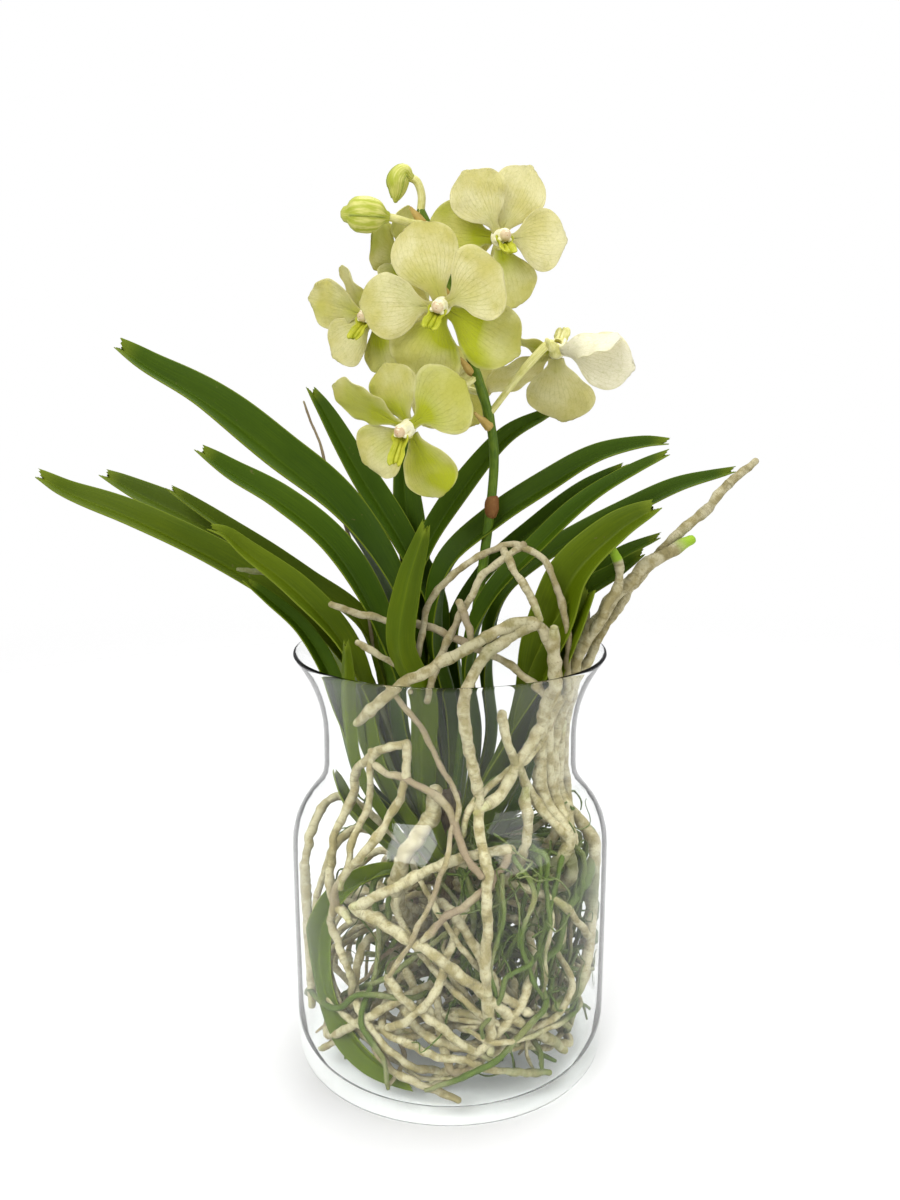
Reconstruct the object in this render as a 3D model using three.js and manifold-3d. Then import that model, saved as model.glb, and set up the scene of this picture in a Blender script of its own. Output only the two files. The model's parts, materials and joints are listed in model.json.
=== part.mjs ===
// Vanda orchid standing in a clear glass vase.
// Millimetres, +Z up, origin in the middle of the flat underside of the vase,
// -Y towards the side where most of the blooms look.
import * as THREE from 'three';
import * as BufferGeometryUtils from 'three/addons/utils/BufferGeometryUtils.js';
import Module from 'manifold-3d';

const wasm = await Module();
wasm.setup();

// ---------------------------------------------------------------- driving dimensions
const VASE_HEIGHT = 250;
const BODY_RADIUS = 95;        // widest, at the shoulder
const NECK_RADIUS = 75;
const RIM_RADIUS = 91.4;
const FOOT_RADIUS = 87;
const WALL = 2.9;
const FLOOR = 7;               // thickness of the glass base
const VASE_SIDES = 40;

const GAP = 0.35;              // air between pieces that touch
const TRIM = 0.5;              // how far a piece is trimmed back from one that it crosses
const STEM_RADIUS = 7;
const STEM_BOTTOM = 24;
const STEM_TOP = 158;

const LEAF_THICKNESS = 1.5;     // across each half, at the keel
const LEAF_EDGE = 1;
const LEAF_STEP = 34;          // spacing of the sections along a leaf
const FOLD_BASE = 58;          // degrees that each half is folded up at the base
const FOLD_BLADE = 40;         // and from mid blade to tip

const ROOT_STEP = 29;
const THIN_ROOT = 3.1;         // radius under which a root gets four sides
const FILLER_ROOTS = 10;
const FINEST = 0.1;            // detail smaller than this is dropped where pieces are fused

const SPIKE_RADIUS = 3.3;
const PEDICEL_RADIUS = 2.1;
const TEPAL_THICKNESS = 0.9;
const COLUMN_RADIUS = 4.2;
const COLUMN_LENGTH = 11;
const LIP_REACH = 14;          // how far a lip stands out from its bloom

// ---------------------------------------------------------------- colours
const GLASS = { color: 0xe4ebe9, roughness: 0.04, metalness: 0 };
const LEAF_DARK = { color: 0x2f5a14, roughness: 0.42, metalness: 0 };
const LEAF_YOUNG = { color: 0x5c8a1c, roughness: 0.42, metalness: 0 };
const SPIKE_GREEN = { color: 0x5f7f2a, roughness: 0.5, metalness: 0 };
const BUD_GREEN = { color: 0xb4c45c, roughness: 0.5, metalness: 0 };
const ROOT_SILVER = { color: 0xc9c6b2, roughness: 0.85, metalness: 0 };
const PETAL_CREAM = { color: 0xeeeec4, roughness: 0.55, metalness: 0 };
const LIP_YELLOW = { color: 0xb9c43a, roughness: 0.45, metalness: 0 };

// ---------------------------------------------------------------- helpers
const vec = (x, y, z) => new THREE.Vector3(x, y, z);
const radians = THREE.MathUtils.degToRad;
const smooth = (t) => THREE.MathUtils.smoothstep(t, 0, 1);

/** Piecewise linear value of a [[x, y], ...] profile. */
function profileAt(profile, x) {
  if (x <= profile[0][0]) return profile[0][1];
  for (let i = 1; i < profile.length; i += 1) {
    const [x1, y1] = profile[i];
    const [x0, y0] = profile[i - 1];
    if (x <= x1) return y0 + ((y1 - y0) * (x - x0)) / (x1 - x0);
  }
  return profile[profile.length - 1][1];
}

/** Repeatable random numbers from 0 to 1. */
function makeRandom(seed) {
  let state = seed;
  return () => {
    state = (state * 16807) % 2147483647;
    return state / 2147483647;
  };
}

/** Manifold solid of a closed geometry. */
function toSolid(geometry) {
  geometry.deleteAttribute('normal');
  geometry.deleteAttribute('uv');
  const merged = BufferGeometryUtils.mergeVertices(geometry, 1e-4);
  return new wasm.Manifold(new wasm.Mesh({
    numProp: 3,
    vertProperties: new Float32Array(merged.attributes.position.array),
    triVerts: new Uint32Array(merged.index.array),
  }));
}

/** Named three.js mesh of a manifold solid. */
function toMesh(name, solid, finish) {
  const clean = largestBody(solid.asOriginal().simplify(FINEST));
  const { numProp, vertProperties, triVerts } = clean.getMesh();
  const positions = new Float32Array((vertProperties.length / numProp) * 3);
  for (let i = 0; i < positions.length / 3; i += 1) {
    for (let k = 0; k < 3; k += 1) positions[3 * i + k] = vertProperties[numProp * i + k];
  }
  const geometry = new THREE.BufferGeometry();
  geometry.setAttribute('position', new THREE.BufferAttribute(positions, 3));
  geometry.setIndex(new THREE.BufferAttribute(new Uint32Array(triVerts), 1));
  geometry.computeVertexNormals();
  const mesh = new THREE.Mesh(geometry, new THREE.MeshStandardMaterial(finish));
  mesh.name = name;
  return mesh;
}

/** The heaviest connected body of a solid. */
function largestBody(solid) {
  const bodies = solid.decompose();
  return bodies.reduce((best, body) => (body.volume() > best.volume() ? body : best));
}

/**
 * Closed skin over rings of equal length; caps lists the triangles that close a ring.
 * In a blade the second half of a ring is its other face, which is split as the first one is.
 */
function loft(rings, caps, blade) {
  const count = rings[0].length;
  const triangles = [];
  const push = (a, b, c) => triangles.push(...a, ...b, ...c);
  for (let i = 0; i < rings.length - 1; i += 1) {
    for (let j = 0; j < count; j += 1) {
      const k = (j + 1) % count;
      const mirrored = blade && j >= count / 2;
      push(rings[i][j], rings[i][k], rings[i + 1][mirrored ? j : k]);
      push(rings[i + 1][k], rings[i + 1][j], rings[i][mirrored ? k : j]);
    }
  }
  const last = rings[rings.length - 1];
  for (const [a, b, c] of caps) {
    push(rings[0][c], rings[0][b], rings[0][a]);
    push(last[a], last[b], last[c]);
  }
  const geometry = new THREE.BufferGeometry();
  geometry.setAttribute('position', new THREE.BufferAttribute(new Float32Array(triangles), 3));
  return geometry;
}

/** Fan of triangles over a convex ring. */
const fanCaps = (count) => Array.from({ length: count - 2 }, (_, i) => [0, i + 1, i + 2]);

/** Solid of a loft, turned the right way out. */
function loftSolid(rings, caps, blade = false) {
  const solid = toSolid(loft(rings, caps, blade));
  if (solid.volume() > 0) return solid;
  const turned = rings.map((ring) => [...ring].reverse());
  const last = rings[0].length - 1;
  return toSolid(loft(turned, caps.map(([a, b, c]) => [last - c, last - b, last - a]), blade));
}

// ---------------------------------------------------------------- the vase
const NECK_INSIDE = NECK_RADIUS - WALL;
const BODY_INSIDE = BODY_RADIUS - WALL;

/** Outline of the outside, from the middle of the foot up to the lip. */
const OUTSIDE = [
  [0, 0], [FOOT_RADIUS, 0], [92, 2.4], [94, 10], [94.4, 40], [BODY_RADIUS, 134], [92, 150],
  [83, 164], [76.4, 174], [NECK_RADIUS, 183], [NECK_RADIUS, 204], [77.8, 222], [83.4, 237],
  [RIM_RADIUS, VASE_HEIGHT],
];

/** Outline of the inside, from the middle of the floor up to the lip. */
const INSIDE = [
  [0, FLOOR], [78, FLOOR], [87, 11], [91, 24], [BODY_INSIDE, 134], [89, 149.5], [80.6, 162.6],
  [73.7, 173.4], [NECK_INSIDE, 183], [NECK_INSIDE, 204], [75, 222.6], [81, 238.4],
  [89.2, VASE_HEIGHT + 0.6],
];

/** Turned glass; extra thickens it on the inside and at the lip. */
function vaseSolid(extra = 0) {
  const inside = INSIDE.map(([r, z]) => [Math.max(0, r - extra), z + extra]).reverse();
  const outline = [...OUTSIDE, ...inside].map(([r, z]) => new THREE.Vector2(r, z));
  const geometry = new THREE.LatheGeometry(outline, VASE_SIDES);
  geometry.rotateX(Math.PI / 2);
  return toSolid(geometry);
}

const INSIDE_BY_HEIGHT = INSIDE.slice(1).map(([r, z]) => [z, r]);

/** Moves a point in from the glass, to leave room for something of that radius. */
function keepInside(point, radius) {
  if (point.z > VASE_HEIGHT + 4) return point;
  const height = Math.max(point.z, FLOOR + radius + GAP);
  const room = profileAt(INSIDE_BY_HEIGHT, height) * Math.cos(Math.PI / VASE_SIDES) - radius - GAP;
  const reach = Math.hypot(point.x, point.y);
  const scale = reach > room ? room / reach : 1;
  return vec(point.x * scale, point.y * scale, height);
}

// ---------------------------------------------------------------- stem and roots
/** Tube of a few sides along a route, thinning from one end to the other. */
function rodSolid(route, startRadius, endRadius, sides, step, fit = (point) => point) {
  const curve = new THREE.CatmullRomCurve3(route.map((p) => vec(...p)), false, 'centripetal');
  const steps = Math.max(1, Math.round(curve.getLength() / step));
  const places = Array.from({ length: steps + 1 }, (_, i) => curve.getPointAt(i / steps));
  const rings = [];
  let across = vec(0.31, 0.95, 0.12);
  for (let i = 0; i <= steps; i += 1) {
    const along = curve.getTangentAt(i / steps);
    across = across.clone().addScaledVector(along, -across.dot(along)).normalize();
    const other = along.clone().cross(across);
    const radius = THREE.MathUtils.lerp(startRadius, endRadius, i / steps);
    const blunt = i === steps ? 0.55 : 1;
    const centre = fit(places[i], radius);
    rings.push(Array.from({ length: sides }, (_, j) => {
      const angle = (2 * Math.PI * j) / sides;
      return centre.clone()
        .addScaledVector(across, Math.cos(angle) * radius * blunt)
        .addScaledVector(other, Math.sin(angle) * radius * blunt);
    }));
  }
  return loftSolid(rings, fanCaps(sides));
}

// Radius at the start, radius at the tip, route.
const ROOTS = [
  // over the front of the rim: the long loop, the hanging root, and the thin ones round them
  [3.6, 3.0, [[2, -1, 100], [38, -30, 118], [61, -38, 153], [58, -50, 228], [54, -53, 262],
    [46, -55, 277], [27, -58, 274], [6, -62, 264], [-16, -64, 251], [-33, -65, 240], [-56, -57, 220]]],
  [3.3, 2.9, [[46, -55, 277], [31, -57, 270], [18, -62, 260], [8, -68, 240], [8, -71, 221],
    [13, -72, 202], [18, -80, 172], [20, -85, 125], [18, -85, 97], [21, -84, 67], [23, -82, 40]]],
  [3.9, 3.6, [[2, -1, 104], [46, -36, 118], [66, -48, 148], [60, -54, 185], [57, -56, 235],
    [57, -58, 258], [56, -58, 276]]],
  [2.0, 1.9, [[60, -50, 215], [65, -42, 259], [61, -40, 288], [52, -38, 307], [38, -36, 317],
    [22, -36, 314], [-2, -37, 297], [-13, -40, 280], [-17, -44, 259], [-22, -48, 238]]],
  [2.1, 2.2, [[40, -37, 317], [18, -42, 301], [3, -44, 275], [-5, -47, 258], [-13, -54, 234]]],
  [2.2, 2.3, [[29, -36, 315], [32, -44, 308], [41, -50, 294], [48, -54, 279]]],
  [1.9, 2.3, [[-65, -42, 285], [-45, -38, 277], [-25, -35, 274], [-5, -40, 269], [14, -47, 262],
    [30, -48, 254], [45, -50, 243], [57, -54, 231]]],
  [1.8, 2.1, [[-50, -52, 266], [-38, -49, 258], [-27, -46, 251], [-16, -50, 240]]],
  [2.1, 2.2, [[5, -46, 287], [9, -49, 278], [13, -56, 267]]],
  // up the right side and out over the rim
  [4.6, 3.7, [[2, 1, 96], [45, -22, 105], [68, -40, 125], [66, -42, 154], [62, -38, 195],
    [65, -35, 229], [71, -33, 252], [80, -29, 270], [93, -24, 287], [113, -18, 304], [137, -10, 316]]],
  [3.2, 2.7, [[2, 2, 90], [50, -5, 100], [70, -18, 140], [66, -20, 188], [69, -22, 225],
    [78, -20, 247], [92, -16, 271], [109, -12, 296], [123, -8, 312], [138, -4, 324], [155, 0, 342],
    [177, 5, 360]]],
  [2.8, 2.7, [[77, -32, 263], [86, -34, 279], [92, -33, 292], [93, -32, 304], [90, -31, 316]]],
  [1.9, 1.7, [[77, -30, 266], [77, -22, 281], [73, -16, 296], [70, -14, 315]]],
  [3.3, 3.0, [[2, 1, 100], [48, -20, 118], [70, -34, 140], [67, -33, 165], [66, -31, 214]]],
  // inside, between the neck and the shoulder
  [2.6, 2.6, [[28, -58, 228], [30, -60, 215], [36, -62, 203], [46, -62, 189], [63, -54, 160],
    [66, -46, 148]]],
  [3.4, 3.2, [[63, -48, 233], [56, -54, 218], [42, -64, 201], [30, -70, 184], [17, -79, 175]]],
  [2.4, 2.0, [[59, -52, 212], [45, -54, 203], [24, -60, 189], [12, -67, 180], [7, -70, 163]]],
  [1.6, 1.5, [[-30, -64, 241], [-15, -68, 222], [-5, -69, 202], [5, -77, 182], [1, -85, 165],
    [-4, -86, 150], [-11, -86, 130], [-24, -84, 103], [-34, -79, 84]]],
  [2.5, 2.6, [[-23, -64, 213], [-40, -56, 205], [-52, -47, 192], [-60, -48, 174], [-66, -54, 148],
    [-66, -56, 118], [-55, -66, 112]]],
  [2.5, 2.3, [[-23, -64, 213], [-24, -66, 200], [-30, -71, 182], [-48, -71, 153], [-62, -60, 129],
    [-66, -57, 101], [-58, -64, 84], [-55, -64, 61]]],
  [2.0, 2.0, [[-43, -55, 206], [-46, -58, 188], [-53, -63, 168], [-56, -65, 145], [-60, -62, 128]]],
  [2.1, 2.3, [[-42, -58, 198], [-26, -67, 193], [-11, -76, 187], [-1, -80, 176], [8, -84, 158],
    [18, -85, 145]]],
  [4.6, 4.0, [[-8, -52, 182], [-13, -58, 165], [-23, -60, 150], [-30, -52, 124], [-24, -28, 92],
    [-1, -1, 72]]],
  [3.1, 2.9, [[1, -1, 108], [28, -40, 132], [33, -60, 149], [16, -66, 151], [-6, -72, 146],
    [-30, -76, 134], [-53, -66, 119]]],
  [3.0, 3.0, [[1, -1, 98], [34, -44, 126], [43, -55, 160], [42, -56, 186]]],
  // along the glass, down to the floor of the vase
  [3.3, 2.9, [[-53, -66, 119], [-38, -76, 115], [-7, -86, 100], [7, -86, 88], [29, -80, 65],
    [50, -67, 42], [67, -47, 20]]],
  [2.5, 2.4, [[-34, -79, 84], [-21, -82, 69], [-3, -84, 55], [24, -80, 34]]],
  [2.3, 2.2, [[-1, -1, 62], [-30, -42, 60], [-37, -72, 48], [-20, -80, 43], [2, -82, 36],
    [32, -77, 26], [57, -60, 13]]],
  [2.5, 2.2, [[-1, -1, 52], [-38, -38, 50], [-46, -63, 43], [-38, -72, 31], [-27, -77, 23],
    [4, -82, 12]]],
  [2.3, 2.1, [[-55, -64, 61], [-61, -52, 44], [-67, -48, 26], [-79, -37, 13]]],
  [3.0, 2.8, [[-2, 1, 108], [-40, 6, 136], [-70, 4, 158], [-84, -12, 136], [-86, -28, 108],
    [-85, -33, 75], [-82, -36, 42]]],
  [4.0, 3.2, [[1, 1, 105], [40, 0, 132], [70, -8, 152], [84, -20, 138], [86, -30, 105],
    [83, -37, 76], [72, -50, 57], [58, -62, 56]]],
  [2.4, 2.1, [[85, -22, 132], [78, -38, 120], [66, -55, 110], [60, -60, 92], [52, -68, 88]]],
  [2.3, 2.2, [[33, -60, 149], [22, -76, 137], [0, -85, 125], [-16, -85, 110]]],
  [1.5, 1.3, [[66, -46, 150], [61, -54, 134], [53, -66, 108], [50, -69, 92], [55, -64, 58]]],
  [1.5, 1.3, [[33, -60, 149], [46, -70, 129], [39, -76, 108], [45, -72, 80], [54, -65, 60]]],
  [1.5, 1.3, [[28, -74, 142], [28, -80, 116], [22, -83, 92], [27, -80, 62]]],
];

const STEM_ROUTE = [[3, 1, STEM_BOTTOM], [1, 0, 70], [-1, 0, 115], [0, 1, STEM_TOP]];

/** Routes of the roots that fill the vase: out from the stem, round the glass and down. */
function fillerRoutes() {
  const random = makeRandom(20260);
  const goldenTurn = Math.PI * (3 - Math.sqrt(5));
  return Array.from({ length: FILLER_ROOTS }, (_, i) => {
    const start = i * goldenTurn + random() * 0.7;
    const turn = (random() < 0.5 ? -1 : 1) * (0.35 + 0.5 * random());
    const height = 42 + 62 * random();
    const rise = 12 + 26 * random();
    const low = 11 + 26 * random();
    const polar = (r, a, z) => [r * Math.cos(a), r * Math.sin(a), z];
    return [
      polar(4, start, height), polar(34, start + 0.15 * turn, height + rise * 0.7),
      polar(66, start + 0.6 * turn, height + rise), polar(84, start + 1.1 * turn, height * 0.72 + 12),
      polar(82, start + 1.8 * turn, (height + low) * 0.42), polar(64, start + 2.5 * turn, low),
    ];
  });
}

function makeRoots(extra = 0) {
  const parts = [rodSolid(STEM_ROUTE, STEM_RADIUS + extra, STEM_RADIUS - 1 + extra, 8, 24)];
  for (const [startRadius, endRadius, route] of ROOTS) {
    const sides = endRadius < THIN_ROOT ? 4 : 5;
    const fit = (point, radius) => keepInside(point, radius - extra);
    parts.push(rodSolid(route, startRadius + extra, endRadius + extra, sides, ROOT_STEP, fit));
  }
  for (const route of fillerRoutes()) {
    const fit = (point, radius) => keepInside(point, radius - extra);
    parts.push(rodSolid(route, 2.8 + extra, 2.2 + extra, 4, ROOT_STEP * 1.3, fit));
  }
  return wasm.Manifold.union(parts).subtract(vaseSolid(GAP));
}

// ---------------------------------------------------------------- leaves
const UP_VIEWER = [0, -0.62, 0.78];    // the way a rolled blade looks
const UP_BACK = [0, -0.15, 1];

// Name, finish, half width, where its inside looks at the base and at the tip, keel from base to tip.
const LEAVES = [
  ['leaf_left_outer', LEAF_DARK, 8, [1, 0.2, 0.3], UP_VIEWER, [[-8, -6, 112], [-30, -14, 146],
    [-55, -20, 178], [-63, -23, 212], [-70, -26, 243], [-83, -28, 267], [-101, -30, 285],
    [-112, -31, 295]]],
  ['leaf_left_front', LEAF_YOUNG, 11, [1, 0.3, 0.2], UP_VIEWER, [[-7, -10, 120], [-28, -18, 152],
    [-45, -26, 190], [-51, -28, 229], [-61, -30, 260], [-86, -34, 291], [-112, -38, 313], [-122, -42, 323],
    [-128, -44, 326]]],
  ['leaf_left_long', LEAF_YOUNG, 14, [1, 0, 0.2], UP_VIEWER, [[-8, 0, 118], [-34, 0, 150], [-53, 0, 190],
    [-61, 0, 225], [-76, 0, 255], [-100, -2, 279], [-134, -4, 302], [-180, -4, 326], [-218, -4, 342],
    [-233, -4, 351]]],
  ['leaf_left_back', LEAF_YOUNG, 14.5, [1, -0.3, 0.2], UP_VIEWER, [[-8, 6, 122], [-32, 14, 155],
    [-48, 20, 192], [-61, 24, 225], [-80, 28, 255], [-107, 32, 285], [-145, 36, 314], [-188, 40, 336],
    [-210, 42, 348]]],
  ['leaf_left_middle', LEAF_DARK, 13.5, [1, 0, 0.2], UP_VIEWER, [[-6, -4, 126], [-22, -8, 160],
    [-33, -10, 200], [-37, -11, 241], [-47, -12, 277], [-67, -13, 311], [-96, -14, 337], [-121, -15, 353],
    [-138, -16, 366]]],
  ['leaf_left_upper', LEAF_DARK, 18.5, [1, 0, 0.2], UP_VIEWER, [[-4, 3, 132], [-14, 6, 170], [-22, 8, 210],
    [-29, 9, 251], [-43, 10, 292], [-66, 10, 329], [-101, 10, 361], [-139, 10, 391], [-171, 9, 411],
    [-187, 8, 423]]],
  ['leaf_left_steep', LEAF_DARK, 12, [1, -0.6, 0.1], [0.5, -0.9, 0.2], [[-4, 10, 132], [-12, 18, 175],
    [-15, 24, 221], [-12, 30, 268], [-32, 36, 311], [-58, 42, 353], [-76, 46, 385], [-84, 48, 399]]],
  ['leaf_back_steep', LEAF_DARK, 13, [0.5, -1, 0], [0.3, -1, 0.1], [[-2, 12, 138], [-8, 24, 185],
    [-14, 34, 235], [-22, 44, 285], [-28, 52, 335], [-30, 58, 372]]],
  ['leaf_front_upright', LEAF_YOUNG, 10.5, [0.2, 1, 0], [0.1, 1, 0.2], [[-4, -14, 128], [-14, -26, 160],
    [-16, -38, 197], [-16, -50, 234], [-27, -56, 263], [-23, -57, 296], [-13, -54, 329]]],
  ['leaf_front_small', LEAF_YOUNG, 6, [0.8, 0.6, 0], [0.4, 1, 0], [[-14, -16, 116], [-36, -26, 150],
    [-55, -32, 188], [-58, -36, 220], [-57, -46, 244], [-56, -56, 266]]],
  ['leaf_left_inner_short', LEAF_YOUNG, 8, [1, 0.2, 0.4], UP_BACK, [[-12, -10, 108], [-40, -16, 134],
    [-60, -20, 158], [-68, -20, 180]]],
  ['leaf_hanging', LEAF_YOUNG, 11, [0.3, -0.3, 1], [-0.6, -0.8, 0.2], [[-14, -2, 104], [-44, -14, 112],
    [-67, -26, 103], [-76, -33, 84], [-73, -46, 62], [-62, -57, 43], [-45, -67, 27], [-22, -73, 15]]],
  ['leaf_right_short', LEAF_YOUNG, 14.5, [-1, 0.4, 0.2], [-0.2, -0.7, 0.7], [[8, -12, 114], [26, -21, 149],
    [43, -29, 186], [51, -31, 221], [59, -33, 248], [70, -35, 275], [77, -37, 291]]],
  ['leaf_right_steep', LEAF_DARK, 10, [-1, -0.4, 0.1], [-0.4, -0.9, 0.3], [[3, 8, 130], [1, 16, 170],
    [-8, 22, 215], [-25, 26, 261], [-15, 30, 302], [9, 34, 342], [35, 38, 372], [62, 41, 387]]],
  ['leaf_right_upper', LEAF_DARK, 12, [-1, 0, 0.2], UP_VIEWER, [[4, 3, 130], [6, 5, 168], [5, 6, 210],
    [-5, 7, 256], [0, 8, 296], [28, 9, 324], [60, 10, 346], [87, 11, 361], [112, 12, 368], [125, 12, 369]]],
  ['leaf_right_narrow', LEAF_DARK, 8, [-1, -0.3, 0.2], UP_VIEWER, [[4, 10, 128], [10, 23, 166],
    [10, 28, 210], [5, 32, 256], [23, 34, 289], [53, 36, 318], [81, 38, 340], [105, 40, 354]]],
  ['leaf_right_middle', LEAF_DARK, 8.5, [-1, 0.1, 0.2], UP_VIEWER, [[6, -4, 126], [14, -8, 162],
    [18, -10, 203], [13, -11, 247], [24, -12, 282], [52, -13, 314], [81, -14, 341], [105, -15, 356],
    [120, -16, 364]]],
  ['leaf_right_long', LEAF_DARK, 9.5, [-1, 0, 0.2], UP_VIEWER, [[9, 5, 120], [20, 7, 158], [28, 9, 196],
    [25, 10, 243], [33, 11, 279], [63, 12, 306], [102, 12, 328], [134, 12, 344], [164, 12, 353]]],
  ['leaf_right_front', LEAF_YOUNG, 18, [-1, 0.2, 0.2], UP_VIEWER, [[7, -8, 118], [22, -18, 154],
    [38, -25, 191], [50, -27, 226], [57, -28, 260], [68, -29, 296], [92, -30, 322], [112, -31, 336]]],
  ['leaf_right_low', LEAF_DARK, 8, [-1, -0.1, 0.2], UP_VIEWER, [[8, 2, 114], [32, 5, 147], [49, 9, 186],
    [58, 9, 224], [66, 9, 257], [80, 8, 284], [99, 6, 303], [121, 4, 315]]],
  ['leaf_right_outer', LEAF_DARK, 9.5, [-1, 0.2, 0.2], UP_VIEWER, [[9, -4, 110], [36, -8, 144],
    [50, -10, 184], [54, -11, 221], [57, -12, 255], [72, -12, 281], [95, -12, 297], [109, -13, 308]]],
  ['leaf_left_olive', LEAF_YOUNG, 9.5, [1, -0.1, 0.2], UP_VIEWER, [[-8, 4, 124], [-27, 9, 158],
    [-40, 13, 194], [-44, 15, 232], [-56, 17, 263], [-88, 20, 287], [-126, 22, 313], [-166, 24, 341]]],
];

const LEAF_WIDTHS = [[0, 0.62], [0.12, 0.78], [0.35, 1], [0.72, 1], [0.88, 0.78], [1, 0.3]];
const LEAF_CAPS = [[0, 1, 4], [0, 4, 5], [1, 2, 3], [1, 3, 4]];
const TIP_NOTCH = [3, -0.9, 1.2];   // how far the lobes and the keel run on at the tip

/** Strap leaf with a V section, from its folded base to its notched tip. */
function leafSolid(halfWidth, baseLook, tipLook, keel, extra = 0) {
  const curve = new THREE.CatmullRomCurve3(keel.map((p) => vec(...p)), false, 'centripetal');
  const steps = Math.round(curve.getLength() / LEAF_STEP);
  const rings = [];
  for (let i = 0; i <= steps; i += 1) {
    const t = i / steps;
    const place = curve.getPointAt(t);
    const along = curve.getTangentAt(t);
    const look = vec(...baseLook).normalize().lerp(vec(...tipLook).normalize(), smooth(t * 1.6 - 0.3));
    const inward = look.addScaledVector(along, -look.dot(along)).normalize();
    const sideways = along.clone().cross(inward);
    const fold = radians(THREE.MathUtils.lerp(FOLD_BASE, FOLD_BLADE, smooth(t * 1.7)));
    const width = halfWidth * profileAt(LEAF_WIDTHS, t) + extra;
    const notch = i === steps ? TIP_NOTCH : [0, 0, 0];
    const row = (face) => notch.map((slip, j) => {
      const side = j - 1;
      const half = (side === 0 ? LEAF_THICKNESS : LEAF_EDGE) / 2;
      const middle = keepInside(place.clone()
        .addScaledVector(sideways, side * width * Math.cos(fold))
        .addScaledVector(inward, Math.abs(side) * width * Math.sin(fold))
        .addScaledVector(along, slip), half);
      const out = face * (half + extra);
      if (side === 0) return middle.addScaledVector(inward, out / Math.cos(fold));
      return middle.addScaledVector(sideways, -side * out * Math.sin(fold))
        .addScaledVector(inward, out * Math.cos(fold));
    });
    rings.push([...row(-1), ...row(1).reverse()]);
  }
  return loftSolid(rings, LEAF_CAPS, true);
}

/** All the leaves, each one trimmed clear of what is already there. */
function makeLeaves(taken) {
  let blocked = taken;
  return LEAVES.map(([name, finish, halfWidth, baseLook, tipLook, keel]) => {
    const whole = leafSolid(halfWidth, baseLook, tipLook, keel);
    const leaf = largestBody(whole.subtract(blocked));
    blocked = blocked.add(leafSolid(halfWidth, baseLook, tipLook, keel, TRIM));
    return toMesh(name, leaf, finish);
  });
}

// ---------------------------------------------------------------- flower spike
const SPIKE_ROUTE = [[3, 3, STEM_TOP + 1.2], [8, 5, 205], [13, 4, 250], [20, 2, 306], [24, 0, 340],
  [25, 0, 366], [21, -2, 389], [14, -4, 410], [5, -2, 436], [0, 0, 456], [-7, 0, 478], [-16, 0, 496]];

// ---------------------------------------------------------------- blooms
// Angle clockwise from upright, length, width, forward lean, twist about its own middle line;
// in the order top sepal, two petals, two lower sepals.
const EVEN_TEPALS = [[0, 40, 38, 0, 0], [68, 42, 42, 2, 0], [-68, 42, 42, 2, 0], [137, 41, 39, 0, 0],
  [-137, 41, 39, 0, 0]];

// Name, centre, the way it faces, turn of column and lip, drop of the lip, size, sepals and petals.
const BLOOMS = [
  ['bloom_front', [-4, -46, 442], [-0.22, -1, -0.1], 18, 9, 1, [[-19, 41, 37, 0, 0],
    [62, 36, 39, 18, 0], [-89, 40, 34, 8, 10], [122, 43, 35, -2, 0], [-157, 39, 41, -4, 0]]],
  ['bloom_upper_right', [26, -18, 479], [0.3, -1, 0.05], 0, 8, 1, [[27, 40, 30, 0, 0],
    [91, 34, 33, 8, 0], [-31, 35, 33, 8, 0], [164, 34, 34, -5, 0], [-82, 35, 33, -8, 0]]],
  ['bloom_left', [-42, -10, 439], [-0.5, -0.87, 0], 10, 12, 0.97, [[-40, 33, 26, 5, 50],
    [80, 34, 30, 0, 0], [-75, 41, 30, 5, 20], [167, 30, 28, -5, 0], [-128, 31, 30, 10, 0]]],
  ['bloom_lower', [-22, -40, 380], [-0.4, -0.9, -0.15], 5, 17, 1, [[-21, 32, 30, 0, 0],
    [55, 38, 40, 0, 0], [-60, 44, 30, 10, 35], [160, 38, 32, -3, 0], [-124, 34, 32, 0, 0]]],
  ['bloom_right', [60, 8, 421], [0.35, 0.8, 0.5], 180, 2, 1, [[178, 40, 42, 0, 0],
    [120, 48, 30, 0, 40], [-104, 42, 32, 3, 25], [72, 32, 28, 0, 50], [-75, 38, 24, 0, 85]]],
  ['bloom_back', [0, 42, 400], [0.2, 1, -0.1], 20, 14, 0.62, EVEN_TEPALS],
  ['bloom_back_left', [-27, 27, 472], [-0.8, 0.55, 0.05], 10, 14, 0.7, EVEN_TEPALS],
];
const PETAL_FORWARD = 1.3;     // petals sit in front of the sepals
const SEPAL_FORWARD = -1.2;
const TEPAL_OUTLINE = [[0, 0.13], [0.14, 0.24], [0.38, 0.82], [0.64, 1], [0.86, 0.78], [1, 0.3]];
const TEPAL_ACROSS = [-1, 0, 1];
const CORE_RADIUS = 5.4;       // of the boss that carries sepals, petals and column
const TEPAL_START = 3.6;
const PEDICEL_SEAT = 2;        // how far behind its middle a bloom meets its stalk

/** Axes of a bloom: out of its face, along its top sepal, and to the right of that. */
function bloomAxes(facing, roll) {
  const out = vec(...facing).normalize();
  const level = vec(0, 0, 1).addScaledVector(out, -out.z).normalize();
  const right = level.clone().cross(out);
  const top = level.clone().multiplyScalar(Math.cos(radians(roll)))
    .addScaledVector(right, Math.sin(radians(roll)));
  return { out, top, right: top.clone().cross(out) };
}

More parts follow.
